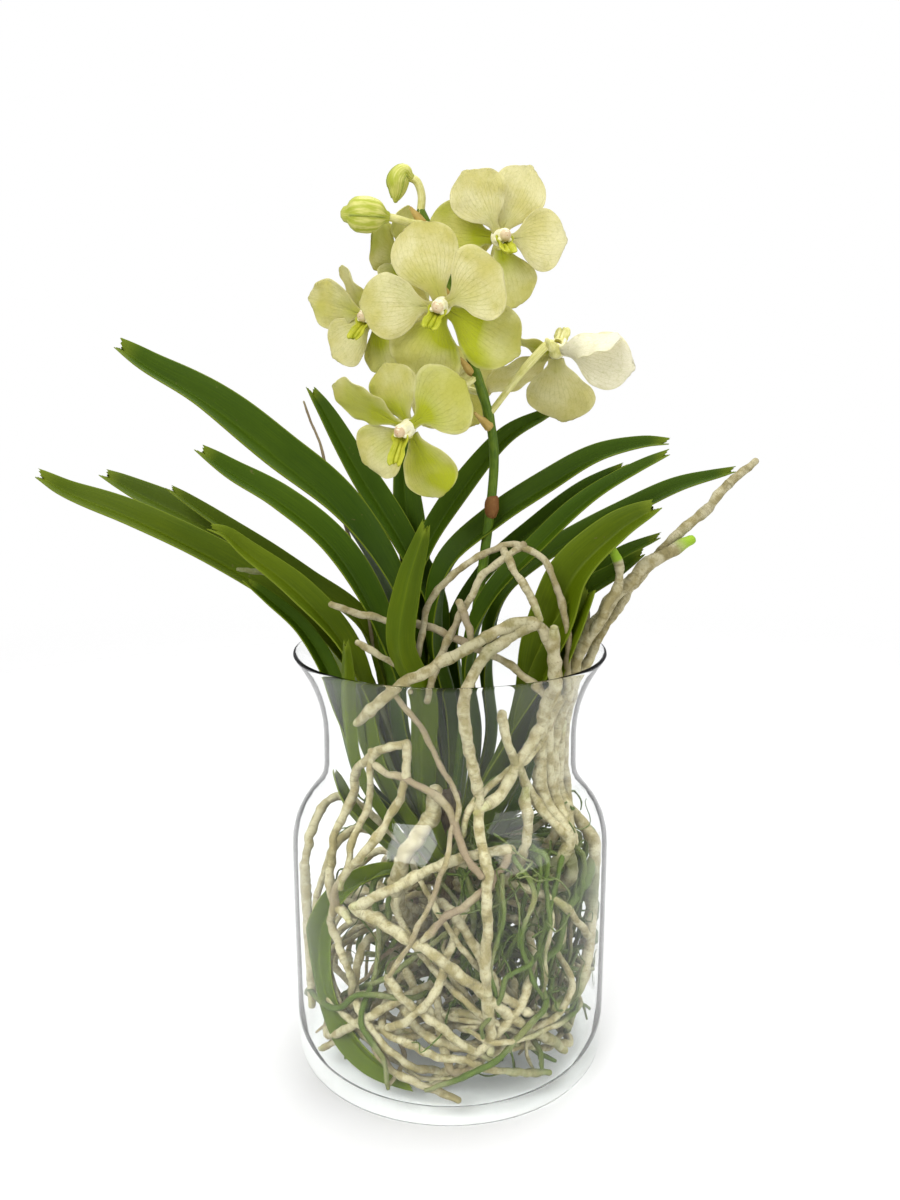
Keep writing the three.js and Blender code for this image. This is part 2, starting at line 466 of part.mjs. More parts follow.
/** One sepal or petal as a thin blade, split into triangles alike on both faces. */
function tepalSolid(centre, axes, size, [angle, length, width, lean, twist], forward) {
  const turn = radians(angle);
  const flat = axes.top.clone().multiplyScalar(Math.cos(turn)).addScaledVector(axes.right, Math.sin(turn));
  const level = axes.right.clone().multiplyScalar(Math.cos(turn)).addScaledVector(axes.top, -Math.sin(turn));
  const tilt = radians(lean);
  const along = flat.clone().multiplyScalar(Math.cos(tilt)).addScaledVector(axes.out, Math.sin(tilt));
  const lift = axes.out.clone().multiplyScalar(Math.cos(tilt)).addScaledVector(flat, -Math.sin(tilt));
  const rings = TEPAL_OUTLINE.map(([u, share]) => {
    const spin = radians(twist) * smooth(u * 2);
    const across = level.clone().multiplyScalar(Math.cos(spin)).addScaledVector(lift, Math.sin(spin));
    const proud = lift.clone().multiplyScalar(Math.cos(spin)).addScaledVector(level, -Math.sin(spin));
    const row = (side) => TEPAL_ACROSS.map((v) => {
      const bulge = Math.abs(v) < 1 ? 1 : 1 - 0.04 * u;
      return centre.clone()
        .addScaledVector(along, (TEPAL_START + u * length * bulge) * size)
        .addScaledVector(across, (v * share * width * size) / 2)
        .addScaledVector(lift, (forward - 3 * u * u) * size)
        .addScaledVector(proud, (0.5 * v * v * share + (side * TEPAL_THICKNESS) / 2) * size);
    });
    return [...row(-1), ...row(1).reverse()];
  });
  const count = TEPAL_ACROSS.length;
  const caps = [];
  for (let j = 0; j < count - 1; j += 1) {
    const far = 2 * count - 1 - j;
    caps.push([j, j + 1, far], [j + 1, far - 1, far]);
  }
  return loftSolid(rings, caps, true);
}

/** Point above or below the middle of a bloom and out of its face. */
function bloomPoint(centre, axes, size, out, top) {
  const point = centre.clone().addScaledVector(axes.out, out * size).addScaledVector(axes.top, top * size);
  return point.toArray();
}

/** Boss, column and spur in the middle of one bloom. */
function heartSolid(centre, axes, size, extra = 0) {
  const place = (out, top) => bloomPoint(centre, axes, size, out, top);
  const rod = (route, startRadius, endRadius, sides, step) => rodSolid(route,
    startRadius * size + extra, endRadius * size + extra, sides, step);
  return wasm.Manifold.union([
    rod([place(-2.6, 0), place(2.6, 0)], CORE_RADIUS, CORE_RADIUS, 6, 6),
    rod([place(1, 0), place(4, 0.5), place(COLUMN_LENGTH, 0)], COLUMN_RADIUS, COLUMN_RADIUS * 0.85, 6, 8),
    rod([place(0, -3), place(-7, -6), place(-11, -13)], 2.6, 1.3, 5, 6),
  ]);
}

/** Sepals and petals of one bloom, joined to its heart. */
function bloomSolid(centre, axes, size, roll, tepals) {
  const blades = tepals.map(([angle, ...rest], i) => {
    const forward = i === 1 || i === 2 ? PETAL_FORWARD : SEPAL_FORWARD;
    return tepalSolid(centre, axes, size, [angle - roll, ...rest], forward);
  });
  return wasm.Manifold.union([...blades, heartSolid(centre, axes, size)]);
}

/** Boat shaped lip in front of the lower sepals. */
function lipSolid(centre, axes, size, drop) {
  const stations = [[0, 3.2, 3.4], [0.3, 5.6, 4.2], [0.62, 5.2, 3.2], [0.86, 5.6, 2.2], [1, 3.4, 1.6]];
  const down = axes.out.clone().multiplyScalar(-drop).addScaledVector(axes.top, -LIP_REACH).normalize();
  const rings = stations.map(([t, halfWidth, depth]) => {
    const place = vec(...bloomPoint(centre, axes, size, 4.8 + LIP_REACH * t, -3.9 - drop * t));
    const corner = (x, d) => place.clone().addScaledVector(axes.right, x * size)
      .addScaledVector(down, d * size);
    return [corner(-halfWidth, -depth), corner(0, 0.6), corner(halfWidth, -depth),
      corner(halfWidth * 0.72, -depth - 0.5), corner(0, -1.2), corner(-halfWidth * 0.72, -depth - 0.5)];
  });
  return loftSolid(rings, LEAF_CAPS).subtract(heartSolid(centre, axes, size, TRIM));
}

// ---------------------------------------------------------------- spike with its stalks and bracts
// Where the stalk of each bloom leaves the spike, and what it passes where it arches over.
const STALKS = {
  bloom_front: [[9, -4, 424]], bloom_upper_right: [[1, 0, 452]], bloom_left: [[4, -2, 440]],
  bloom_lower: [[15, -4, 407]], bloom_right: [[22, -2, 386], [44, -3, 414], [56, 0, 425]],
  bloom_back: [[18, -3, 398]], bloom_back_left: [[-4, 0, 470]],
};
const BRACTS = [[12, -4, 414, 4], [22, -2, 384, 5], [-15, 0, 494, 4], [0, 0, 455, 4]];
const RING_NODE = [[24, 0, 331], [24.3, 0, 341]];

// Name, route from the stalk through the bud, radii along it.
const BUDS = [
  ['bud_tip', [[-21.5, -4, 512.5], [-25, -5, 514.5], [-28, -6, 511], [-28.5, -6, 506],
    [-29.5, -6, 500]], [2.6, 5.2, 6, 4.4, 1.6]],
  ['bud_side', [[-34.5, -11, 491], [-39, -12, 491.6], [-45, -12.5, 492], [-51, -12.5, 492.2],
    [-55, -12.5, 492.2]], [3.4, 8.2, 9.4, 9, 5.6]],
];
const BUD_STALKS = [
  [[-16, 0, 495], [-15.5, -1, 504], [-18, -3, 510.5], [-21, -3.8, 512.3]],
  [[-13, 0, 489], [-20, -5, 488.5], [-30, -10, 490.5], [-34, -11, 491]],
];

/** Round bud swelling and thinning along its route. */
function budSolid(route, radii) {
  const curve = new THREE.CatmullRomCurve3(route.map((p) => vec(...p)), false, 'centripetal');
  let across = vec(0, 1, 0);
  const rings = radii.map((radius, i) => {
    const share = i / (radii.length - 1);
    const along = curve.getTangent(share);
    across = across.clone().addScaledVector(along, -across.dot(along)).normalize();
    const other = along.clone().cross(across);
    return Array.from({ length: 8 }, (_, j) => curve.getPoint(share)
      .addScaledVector(across, Math.cos((Math.PI * j) / 4) * radius)
      .addScaledVector(other, Math.sin((Math.PI * j) / 4) * radius));
  });
  return loftSolid(rings, fanCaps(8));
}

/** The spike, with its node ring, bracts and the stalks of blooms and buds. */
function makeSpike(extra = 0) {
  const parts = [
    rodSolid(SPIKE_ROUTE, SPIKE_RADIUS + extra, SPIKE_RADIUS * 0.7 + extra, 7, 22),
    rodSolid(RING_NODE, SPIKE_RADIUS + 0.8 + extra, SPIKE_RADIUS + 0.8 + extra, 7, 5),
    ...BUD_STALKS.map((route) => rodSolid(route, PEDICEL_RADIUS + extra, PEDICEL_RADIUS + extra, 5, 6)),
  ];
  for (const [x, y, z, reach] of BRACTS) {
    parts.push(rodSolid([[x, y, z - 4], [x - reach, y - 2, z], [x - reach * 1.6, y - 3, z + 3]],
      3.4 + extra, 0.9 + extra, 4, 8));
  }
  for (const [name, centre, facing, roll, , size] of BLOOMS) {
    const axes = bloomAxes(facing, roll);
    const middle = vec(...centre);
    const seat = bloomPoint(middle, axes, 1, -PEDICEL_SEAT * size, 0.8);
    const behind = bloomPoint(middle, axes, 1, -PEDICEL_SEAT * size - 12, 2);
    const radius = PEDICEL_RADIUS + extra;
    const route = STALKS[name].length > 1 ? [...STALKS[name], seat] : [...STALKS[name], behind, seat];
    parts.push(rodSolid(route, radius, radius, 4, 12));
  }
  return wasm.Manifold.union(parts);
}

/** Petals and lip of every bloom. */
function makeBlooms(taken) {
  return BLOOMS.flatMap(([name, centre, facing, roll, drop, size, tepals]) => {
    const axes = bloomAxes(facing, roll);
    const middle = vec(...centre);
    const petals = bloomSolid(middle, axes, size, roll, tepals);
    return [
      toMesh(`${name}_petals`, largestBody(petals.subtract(taken)), PETAL_CREAM),
      toMesh(`${name}_lip`, lipSolid(middle, axes, size, drop), LIP_YELLOW),
    ];
  });
}

// ---------------------------------------------------------------- assembly
const spikeRoom = makeSpike(TRIM);
const orchid = new THREE.Group();
orchid.name = 'vanda_orchid_in_glass';
orchid.add(toMesh('glass_vase', vaseSolid(), GLASS));
orchid.add(toMesh('stem_and_roots', makeRoots(), ROOT_SILVER));
orchid.add(toMesh('flower_spike', makeSpike(), SPIKE_GREEN));
orchid.add(...makeLeaves(wasm.Manifold.union([makeRoots(TRIM), spikeRoom, vaseSolid(TRIM)])));
orchid.add(...makeBlooms(spikeRoom));
for (const [name, route, radii] of BUDS) {
  orchid.add(toMesh(name, budSolid(route, radii).subtract(spikeRoom), BUD_GREEN));
}
export default orchid;
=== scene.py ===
"""Vanda orchid with bare aerial roots, standing in a clear glass vase.

Metres, +Z up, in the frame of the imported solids: the origin is in the middle of the vase's underside
and most blooms look towards -Y. Routes are lists of points in millimetres, because the plant grew
freely. Where another program made such points, the docstring of what holds them says so.
"""

import json
import logging
import math
from dataclasses import dataclass, field
from enum import Enum

import bpy
import numpy as np
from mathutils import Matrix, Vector

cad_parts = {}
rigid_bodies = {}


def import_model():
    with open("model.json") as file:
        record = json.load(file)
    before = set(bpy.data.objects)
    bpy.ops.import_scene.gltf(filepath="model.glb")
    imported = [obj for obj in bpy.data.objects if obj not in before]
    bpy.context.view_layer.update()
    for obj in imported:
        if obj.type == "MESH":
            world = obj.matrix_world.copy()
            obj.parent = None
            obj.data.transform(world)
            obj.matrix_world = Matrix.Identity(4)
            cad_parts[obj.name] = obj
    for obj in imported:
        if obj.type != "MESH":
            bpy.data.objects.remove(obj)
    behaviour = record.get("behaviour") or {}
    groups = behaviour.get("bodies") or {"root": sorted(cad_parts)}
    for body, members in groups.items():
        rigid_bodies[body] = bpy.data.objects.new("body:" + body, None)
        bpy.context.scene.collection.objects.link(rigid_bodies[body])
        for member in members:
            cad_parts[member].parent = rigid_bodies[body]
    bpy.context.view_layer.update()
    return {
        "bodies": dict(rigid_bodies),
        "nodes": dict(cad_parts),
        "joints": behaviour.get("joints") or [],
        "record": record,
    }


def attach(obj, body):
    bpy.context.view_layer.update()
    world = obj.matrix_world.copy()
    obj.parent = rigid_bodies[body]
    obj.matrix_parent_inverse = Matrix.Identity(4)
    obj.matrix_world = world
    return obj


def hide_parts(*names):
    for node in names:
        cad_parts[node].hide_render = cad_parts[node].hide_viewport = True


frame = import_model()

log = logging.getLogger("orchid")
logging.basicConfig(level=logging.INFO, format="%(message)s")

MM = 0.001
Colour = tuple[float, float, float]
Point = tuple[float, float, float]


# ------------------------------------------------------------------ shader maths
class Socket:
    """An output of a shader node that can be used in Python expressions."""

    def __init__(self, shader: "Shader", link: bpy.types.NodeSocket) -> None:
        """Keeps the output and the shader that it belongs to."""
        self.shader = shader
        self.link = link

    def _math(self, operation: str, first: "Number", second: "Number | None" = None) -> "Socket":
        """Adds one Math node.

        Args:
            operation: Blender's name of the operation.
            first: left operand.
            second: right operand, if there is one.

        Returns:
            The node's output.
        """
        inputs = {0: first} if second is None else {0: first, 1: second}
        return self.shader.node("ShaderNodeMath", inputs, operation=operation)

    def __add__(self, other: "Number") -> "Socket":
        """Sum."""
        return self._math("ADD", self, other)

    def __radd__(self, other: "Number") -> "Socket":
        """Sum with a number on the left."""
        return self._math("ADD", other, self)

    def __sub__(self, other: "Number") -> "Socket":
        """Difference."""
        return self._math("SUBTRACT", self, other)

    def __rsub__(self, other: "Number") -> "Socket":
        """Difference with a number on the left."""
        return self._math("SUBTRACT", other, self)

    def __mul__(self, other: "Number") -> "Socket":
        """Product."""
        return self._math("MULTIPLY", self, other)

    def __rmul__(self, other: "Number") -> "Socket":
        """Product with a number on the left."""
        return self._math("MULTIPLY", other, self)

    def __abs__(self) -> "Socket":
        """Absolute value."""
        return self._math("ABSOLUTE", self)

    def fade(self, low: float, high: float) -> "Socket":
        """Smooth step from 0 at low to 1 at high; low may be the larger.

        Args:
            low: value that gives 0.
            high: value that gives 1.

        Returns:
            The smooth step.
        """
        return self.shader.node(
            "ShaderNodeMapRange", {0: self, 1: low, 2: high, 3: 0.0, 4: 1.0}, interpolation_type="SMOOTHSTEP"
        )


Number = Socket | float


class Shader:
    """One material and the nodes in it."""

    def __init__(self, name: str) -> None:
        """Starts an empty material with an output node.

        Args:
            name: name of the material.
        """
        self.material = bpy.data.materials.new(name)
        self.material.use_nodes = True
        self.tree = self.material.node_tree
        self.tree.nodes.clear()
        self.output = self.tree.nodes.new("ShaderNodeOutputMaterial")

    def node(self, kind: str, inputs: dict[int | str, object] | None = None, out: int | str = 0,
             **settings: object) -> Socket:
        """Adds a node.

        Args:
            kind: Blender's node type.
            inputs: value or link of each socket, by index or name.
            out: which output to return.
            settings: properties of the node, set before its sockets.

        Returns:
            The chosen output.
        """
        node = self.tree.nodes.new(kind)
        for key, value in settings.items():
            setattr(node, key, value)
        for key, value in (inputs or {}).items():
            if isinstance(value, Socket):
                self.tree.links.new(value.link, node.inputs[key])
            else:
                node.inputs[key].default_value = value
        return Socket(self, node.outputs[out])

    def mark(self, name: str) -> Socket:
        """Value that the mesh carries at each vertex under that name."""
        return self.node("ShaderNodeAttribute", out="Fac", attribute_name=name)

    def place(self) -> Socket:
        """Place of the shaded point in the object's own metres."""
        return self.node("ShaderNodeTexCoord", out="Object")

    def combine(self, x: Number, y: Number, z: Number = 0.0) -> Socket:
        """Vector of three values."""
        return self.node("ShaderNodeCombineXYZ", {0: x, 1: y, 2: z})

    def noise(self, vector: Socket, scale: float, detail: float = 3.0, rough: float = 0.55) -> Socket:
        """Noise from 0 to 1.

        Args:
            vector: place to read the noise at.
            scale: how many blotches to a unit.
            detail: number of finer octaves.
            rough: weight of the finer octaves.

        Returns:
            The noise value.
        """
        inputs = {"Vector": vector, "Scale": scale, "Detail": detail, "Roughness": rough}
        return self.node("ShaderNodeTexNoise", inputs)

    def mix(self, factor: Number, first: "Socket | Colour", second: "Socket | Colour") -> Socket:
        """Colour between two colours.

        Args:
            factor: share of the second colour.
            first: colour at 0.
            second: colour at 1.

        Returns:
            The mixed colour.
        """
        first = first if isinstance(first, Socket) else (*first, 1.0)
        second = second if isinstance(second, Socket) else (*second, 1.0)
        inputs = {0: factor, 6: first, 7: second}
        return self.node("ShaderNodeMix", inputs, out=2, data_type="RGBA", clamp_factor=True)

    def bump(self, height: Socket, depth: float) -> Socket:
        """Bumped normal.

        Args:
            height: height field from 0 to 1.
            depth: metres from 0 to 1.

        Returns:
            The normal.
        """
        return self.node("ShaderNodeBump", {"Height": height, "Distance": depth})

    def between(self, share: Number, first: Socket, second: Socket) -> Socket:
        """Surface between two surfaces.

        Args:
            share: share of the second surface.
            first: surface at 0.
            second: surface at 1.

        Returns:
            The mixed surface.
        """
        return self.node("ShaderNodeMixShader", {0: share, 1: first, 2: second})

    def finish(self, surface: Socket) -> bpy.types.Material:
        """Ends the material with that surface."""
        self.tree.links.new(surface.link, self.output.inputs["Surface"])
        return self.material


# ------------------------------------------------------------------ finishes
@dataclass(frozen=True)
class GlassFinish:
    """Clear glass that barely bends light, under a partial glossy coat that gives its reflections."""

    name: str = "clear_glass"
    tint: Colour = (0.965, 0.975, 0.97)
    shadow_tint: Colour = (0.94, 0.955, 0.95)
    index: float = 1.045
    gloss: float = 0.42
    gloss_index: float = 1.5

    def build(self) -> bpy.types.Material:
        """Makes the material.

        Returns:
            The material.
        """
        shader = Shader(self.name)
        glass = shader.node("ShaderNodeBsdfPrincipled", {
            "Base Color": (*self.tint, 1.0), "Roughness": 0.0, "IOR": self.index, "Transmission Weight": 1.0,
            "Specular IOR Level": 0.5, "Coat Weight": self.gloss, "Coat IOR": self.gloss_index,
            "Coat Roughness": 0.01,
        })
        clear = shader.node("ShaderNodeBsdfTransparent", {"Color": (*self.shadow_tint, 1.0)})
        shadow = shader.node("ShaderNodeLightPath", out="Is Shadow Ray")
        return shader.finish(shader.between(shadow, glass, clear))


@dataclass(frozen=True)
class LeafFinish:
    """Leathery strap leaf with fine lengthwise veins."""

    name: str
    dark: Colour
    light: Colour
    edge: Colour = (0.17, 0.22, 0.012)
    base: Colour = (0.16, 0.21, 0.015)
    speck: Colour = (0.16, 0.13, 0.05)
    roughness: float = 0.46
    glow: float = 0.10

    def build(self) -> bpy.types.Material:
        """Makes the material.

        Returns:
            The material.
        """
        shader = Shader(self.name)
        across = shader.mark("across")
        along = shader.mark("along")
        length = shader.mark("length")
        place = shader.place()
        veins = shader.noise(shader.combine(across * 46.0, length * 3.0), 1.0, 3.0, 0.6)
        blotches = shader.noise(place, 34.0, 4.0, 0.6)
        clouds = shader.noise(place, 9.0, 2.0, 0.5)
        tone = veins * 0.55 + clouds * 0.7 + blotches * 0.25 - 0.42
        colour = shader.mix(tone.fade(0.0, 0.85), self.dark, self.light)
        colour = shader.mix(along.fade(0.30, 0.02) * 0.75, colour, self.base)
        middle = abs(across - 0.5)
        colour = shader.mix(middle.fade(0.030, 0.004) * 0.30, colour, self.light)
        colour = shader.mix(middle.fade(0.465, 0.497) * 0.75, colour, self.edge)
        colour = shader.mix(along.fade(0.965, 1.0) * 0.65, colour, self.edge)
        specks = shader.noise(place, 420.0, 1.0).fade(0.73, 0.78) * shader.noise(place, 60.0).fade(0.5, 0.62)
        colour = shader.mix(specks * 0.45, colour, self.speck)
        rough = self.roughness + blotches * 0.16 - veins * 0.08
        height = veins * 0.7 + blotches * 0.5
        skin = shader.node("ShaderNodeBsdfPrincipled", {
            "Base Color": colour, "Roughness": rough, "Normal": shader.bump(height, 0.00022),
            "Specular IOR Level": 0.13,
        })
        back = shader.node("ShaderNodeBsdfTranslucent", {"Color": colour})
        return shader.finish(shader.between(self.glow, skin, back))


@dataclass(frozen=True)
class RootFinish:
    """Dry silvery skin of an aerial root, with cracks, moss and green growing tips."""

    name: str = "root_skin"
    silver: Colour = (0.255, 0.215, 0.092)
    chalk: Colour = (0.43, 0.39, 0.24)
    shade: Colour = (0.125, 0.105, 0.040)
    moss: Colour = (0.065, 0.105, 0.008)
    brown: Colour = (0.21, 0.16, 0.095)
    tip: Colour = (0.26, 0.42, 0.02)

    def build(self) -> bpy.types.Material:
        """Makes the material.

        Returns:
            The material.
        """
        shader = Shader(self.name)
        place = shader.place()
        length = shader.mark("length")
        around = shader.mark("across")
        fine = shader.noise(place, 900.0, 4.0, 0.65)
        blotches = shader.noise(place, 130.0, 4.0, 0.6)
        clouds = shader.noise(place, 26.0, 2.0, 0.5)
        rings = shader.noise(shader.combine(length * 46.0, around * 1.2, clouds * 3.0), 1.0, 2.0, 0.6)
        colour = shader.mix(blotches.fade(0.38, 0.60), self.silver, self.chalk)
        colour = shader.mix(rings.fade(0.54, 0.70) * 0.42, colour, self.shade)
        colour = shader.mix(fine.fade(0.56, 0.70) * 0.55, colour, self.shade)
        green = shader.mark("moss") * (0.60 + 0.9 * clouds) + clouds.fade(0.50, 0.68) * 0.24
        colour = shader.mix(green.fade(0.22, 0.95), colour, self.moss)
        brown = shader.mark("brown") * (0.4 + blotches)
        colour = shader.mix(brown.fade(0.15, 0.85), colour, self.brown)
        colour = shader.mix(shader.mark("tip").fade(0.1, 0.9), colour, self.tip)
        height = fine * 0.35 + blotches * 0.9 + rings * 0.8
        surface = shader.node("ShaderNodeBsdfPrincipled", {
            "Base Color": colour, "Roughness": 0.62 + 0.3 * fine, "Normal": shader.bump(height, 0.0007),
            "Specular IOR Level": 0.35,
        })
        return shader.finish(surface)


@dataclass(frozen=True)
class PetalFinish:
    """Thin cream sepal or petal, greener towards the middle of the bloom, with a net of veins."""

    name: str = "petal_skin"
    cream: Colour = (0.64, 0.59, 0.17)
    pale: Colour = (0.80, 0.76, 0.44)
    green: Colour = (0.47, 0.51, 0.010)
    vein: Colour = (0.40, 0.41, 0.045)
    # white: painted light, the whiteness given to lit and backlit tepals whose green mark is below 0
    white: Colour = (0.96, 0.93, 0.80)
    glow: float = 0.34

    def build(self) -> bpy.types.Material:
        """Makes the material.

        Returns:
            The material.
        """
        shader = Shader(self.name)
        across = shader.mark("across")
        along = shader.mark("along")
        # green mark of the tepal: above 0 partly its own green and partly painted shade on shaded tepals;
        # below 0 painted light
        tint = shader.mark("green")
        place = shader.place()
        clouds = shader.noise(place, 46.0, 3.0, 0.55)
        warp = shader.noise(place, 70.0, 2.0) - 0.5
        spread = (across - 0.5) * (1.35 - 0.5 * along) + warp * 0.05
        ribs = abs(shader.node("ShaderNodeMath", {0: spread * 13.0, 1: 1.0}, operation="PINGPONG") - 0.5)
        net = shader.node("ShaderNodeTexVoronoi", {
            "Vector": shader.combine(across * 20.0, along * 13.0, clouds * 1.5), "Scale": 1.0,
        }, feature="DISTANCE_TO_EDGE")
        ribs = ribs.fade(0.40, 0.50) * along.fade(1.0, 0.45)
        lines = ribs * 0.55 + net.fade(0.10, 0.0) * 0.35
        colour = shader.mix(clouds.fade(0.30, 0.72), self.cream, self.pale)
        core = along.fade(0.62, 0.05) * abs(across - 0.5).fade(0.62, 0.0)
        patches = shader.noise(place, 30.0, 2.0, 0.5).fade(0.46, 0.66)
        # greener towards the middle of the bloom, and by the tepal's green mark, which is partly painted
        # shade
        green = core * 0.45 + tint * (0.48 + 0.65 * core + 0.50 * patches) + patches * 0.20 - 0.09
        colour = shader.mix(green, colour, self.green)
        # painted light: a green mark below 0 whitens lit and backlit tepals
        colour = shader.mix(tint.fade(0.05, -0.7) * 0.85, colour, self.white)
        mottle = shader.noise(place, 360.0, 3.0, 0.65)
        colour = shader.mix(lines * 0.44 + mottle.fade(0.50, 0.72) * 0.20, colour, self.vein)
        rim = abs(across - 0.5).fade(0.42, 0.5)
        colour = shader.mix(rim * 0.35, colour, self.pale)
        height = lines * -0.6 + clouds * 0.5 + shader.noise(place, 1500.0, 2.0) * 0.10
        normal = shader.bump(height, 0.00035)
        skin = shader.node("ShaderNodeBsdfPrincipled", {
            "Base Color": colour, "Roughness": 0.50 + 0.1 * clouds, "Normal": normal,
            "Specular IOR Level": 0.35, "Sheen Weight": 0.15,
        })
        back = shader.node("ShaderNodeBsdfTranslucent", {"Color": colour, "Normal": normal})
        return shader.finish(shader.between(self.glow, skin, back))


@dataclass(frozen=True)
class FleshFinish:
    """Waxy flesh of a lip, a column, a bud or a stalk, blotched with a second and a third colour."""

    name: str
    main: Colour
    second: Colour
    spot: Colour = (0.30, 0.10, 0.04)
    roughness: float = 0.42
    streaks: float = 0.5
    grain: float = 160.0

    def build(self) -> bpy.types.Material:
        """Makes the material.

        Returns:
            The material.
        """
        shader = Shader(self.name)
        place = shader.place()
        across = shader.mark("across")
        length = shader.mark("length")
        clouds = shader.noise(place, self.grain, 3.0, 0.6)
        stripes = shader.noise(shader.combine(across * 16.0, length * 12.0), 1.0, 2.0, 0.5)
        tone = clouds * (1.0 - self.streaks) + stripes * self.streaks
        colour = shader.mix(tone.fade(0.36, 0.66), self.main, self.second)
        spots = shader.mark("spot") * (0.55 + 0.9 * clouds)
        colour = shader.mix(spots.fade(0.25, 0.75), colour, self.spot)
        fine = shader.noise(place, 1100.0, 2.0)
        surface = shader.node("ShaderNodeBsdfPrincipled", {
            "Base Color": colour, "Roughness": self.roughness + 0.15 * fine,
            "Normal": shader.bump(stripes * 0.7 + fine * 0.3, 0.0003), "Specular IOR Level": 0.3,
        })
        return shader.finish(surface)


@dataclass(frozen=True)
class FloorFinish:
    """Matt white paper floor."""

    name: str = "pale_floor"
    tone: Colour = (0.86, 0.86, 0.86)
    grain: Colour = (0.83, 0.83, 0.835)

    def build(self) -> bpy.types.Material:
        """Makes the material.

        Returns:
            The material.
        """
        shader = Shader(self.name)
        grain = shader.noise(shader.place(), 60.0, 4.0)
        colour = shader.mix(grain * 0.3, self.tone, self.grain)
        reach = shader.node("ShaderNodeVectorMath", {0: shader.place()}, out="Value", operation="LENGTH")
        return shader.finish(shader.node("ShaderNodeBsdfPrincipled", {
            "Base Color": colour, "Roughness": 0.8, "Specular IOR Level": 0.2, "Alpha": reach.fade(1.5, 0.35),
        }))


MADE: dict[object, bpy.types.Material] = {}


class Finish(Enum):
    """The finishes, each made once."""

    GLASS = GlassFinish()
    LEAF_DARK = LeafFinish("dark_strap_leaf", (0.026, 0.062, 0.0006), (0.072, 0.128, 0.0010))
    LEAF_YOUNG = LeafFinish("young_strap_leaf", (0.052, 0.090, 0.0006), (0.125, 0.170, 0.0014))
    ROOT = RootFinish()
    PETAL = PetalFinish()
    LIP = FleshFinish("lip_flesh", (0.33, 0.36, 0.010), (0.50, 0.50, 0.04), (0.30, 0.17, 0.02), 0.38)
    COLUMN = FleshFinish("column_flesh", (0.80, 0.76, 0.46), (0.90, 0.87, 0.66), (0.42, 0.20, 0.07))
    SPIKE = FleshFinish("spike_flesh", (0.060, 0.120, 0.004), (0.125, 0.200, 0.010), (0.15, 0.055, 0.012))
    STALK = FleshFinish("stalk_flesh", (0.58, 0.56, 0.16), (0.78, 0.74, 0.36), (0.30, 0.26, 0.03))
    BUD = FleshFinish("bud_flesh", (0.36, 0.40, 0.035), (0.60, 0.58, 0.17), (0.17, 0.25, 0.010), streaks=0.8)
    BRACT = FleshFinish("bract_skin", (0.42, 0.27, 0.06), (0.58, 0.42, 0.14), (0.20, 0.08, 0.02), 0.6)
    BARK = FleshFinish("stem_bark", (0.10, 0.07, 0.035), (0.20, 0.15, 0.07), (0.05, 0.03, 0.01), 0.7)
    FLOOR = FloorFinish()

    @property
    def material(self) -> bpy.types.Material:
        """The finish's material, built on first use.

        Returns:
            The material.
        """
        if self.value not in MADE:
            MADE[self.value] = self.value.build()
        return MADE[self.value]


# ------------------------------------------------------------------ mesh helpers
def smooth(value: "np.ndarray | float", low: float = 0.0, high: float = 1.0) -> "np.ndarray | float":
    """Smooth step from 0 at low to 1 at high.

    Args:
        value: where to read it.
        low: value that gives 0.
        high: value that gives 1.

    Returns:
        The smooth step.
    """
    share = np.clip((value - low) / (high - low), 0.0, 1.0)
    return share * share * (3.0 - 2.0 * share)


def profile(pairs: list[tuple[float, float]], at: np.ndarray) -> np.ndarray:
    """Smooth curve through (place, value) pairs that keeps between its neighbours.

    Args:
        pairs: places in rising order with their values.
        at: where to read the curve.

    Returns:
        Values of the curve.
    """
    places = np.array([pair[0] for pair in pairs])
    values = np.array([pair[1] for pair in pairs])
    slopes = np.diff(values) / np.diff(places)
    tangents = np.zeros(len(places))
    same = slopes[:-1] * slopes[1:] > 0
    tangents[1:-1][same] = 2.0 / (1.0 / slopes[:-1][same] + 1.0 / slopes[1:][same])
    tangents[0] = slopes[0]
    tangents[-1] = slopes[-1]
    index = np.clip(np.searchsorted(places, at) - 1, 0, len(slopes) - 1)
    width = places[index + 1] - places[index]
    share = np.clip((at - places[index]) / width, 0.0, 1.0)
    first = (1 + 2 * share) * (1 - share) ** 2 * values[index]
    second = share ** 2 * (3 - 2 * share) * values[index + 1]
    bend = share * (1 - share) ** 2 * tangents[index] - share ** 2 * (1 - share) * tangents[index + 1]
    return first + second + width * bend


def unit(vectors: np.ndarray) -> np.ndarray:
    """Vectors of length one."""
    return vectors / np.maximum(np.linalg.norm(vectors, axis=-1, keepdims=True), 1e-9)


def ripple(points: np.ndarray, wavelength: float, seed: int) -> np.ndarray:
    """Smooth repeatable noise of about -1 to 1 in space.

    Args:
        points: places, three to a row.
        wavelength: size of the waves, in the points' own unit.
        seed: which pattern.

    Returns:
        One value for each point.
    """
    random = np.random.default_rng(seed)
    total = np.zeros(points.shape[:-1])
    for _ in range(7):
        wave = unit(random.normal(size=3)) * (2 * math.pi / wavelength) * random.uniform(0.6, 1.7)
        total = total + np.sin(points @ wave + random.uniform(0.0, 6.28))
    return total / 3.2


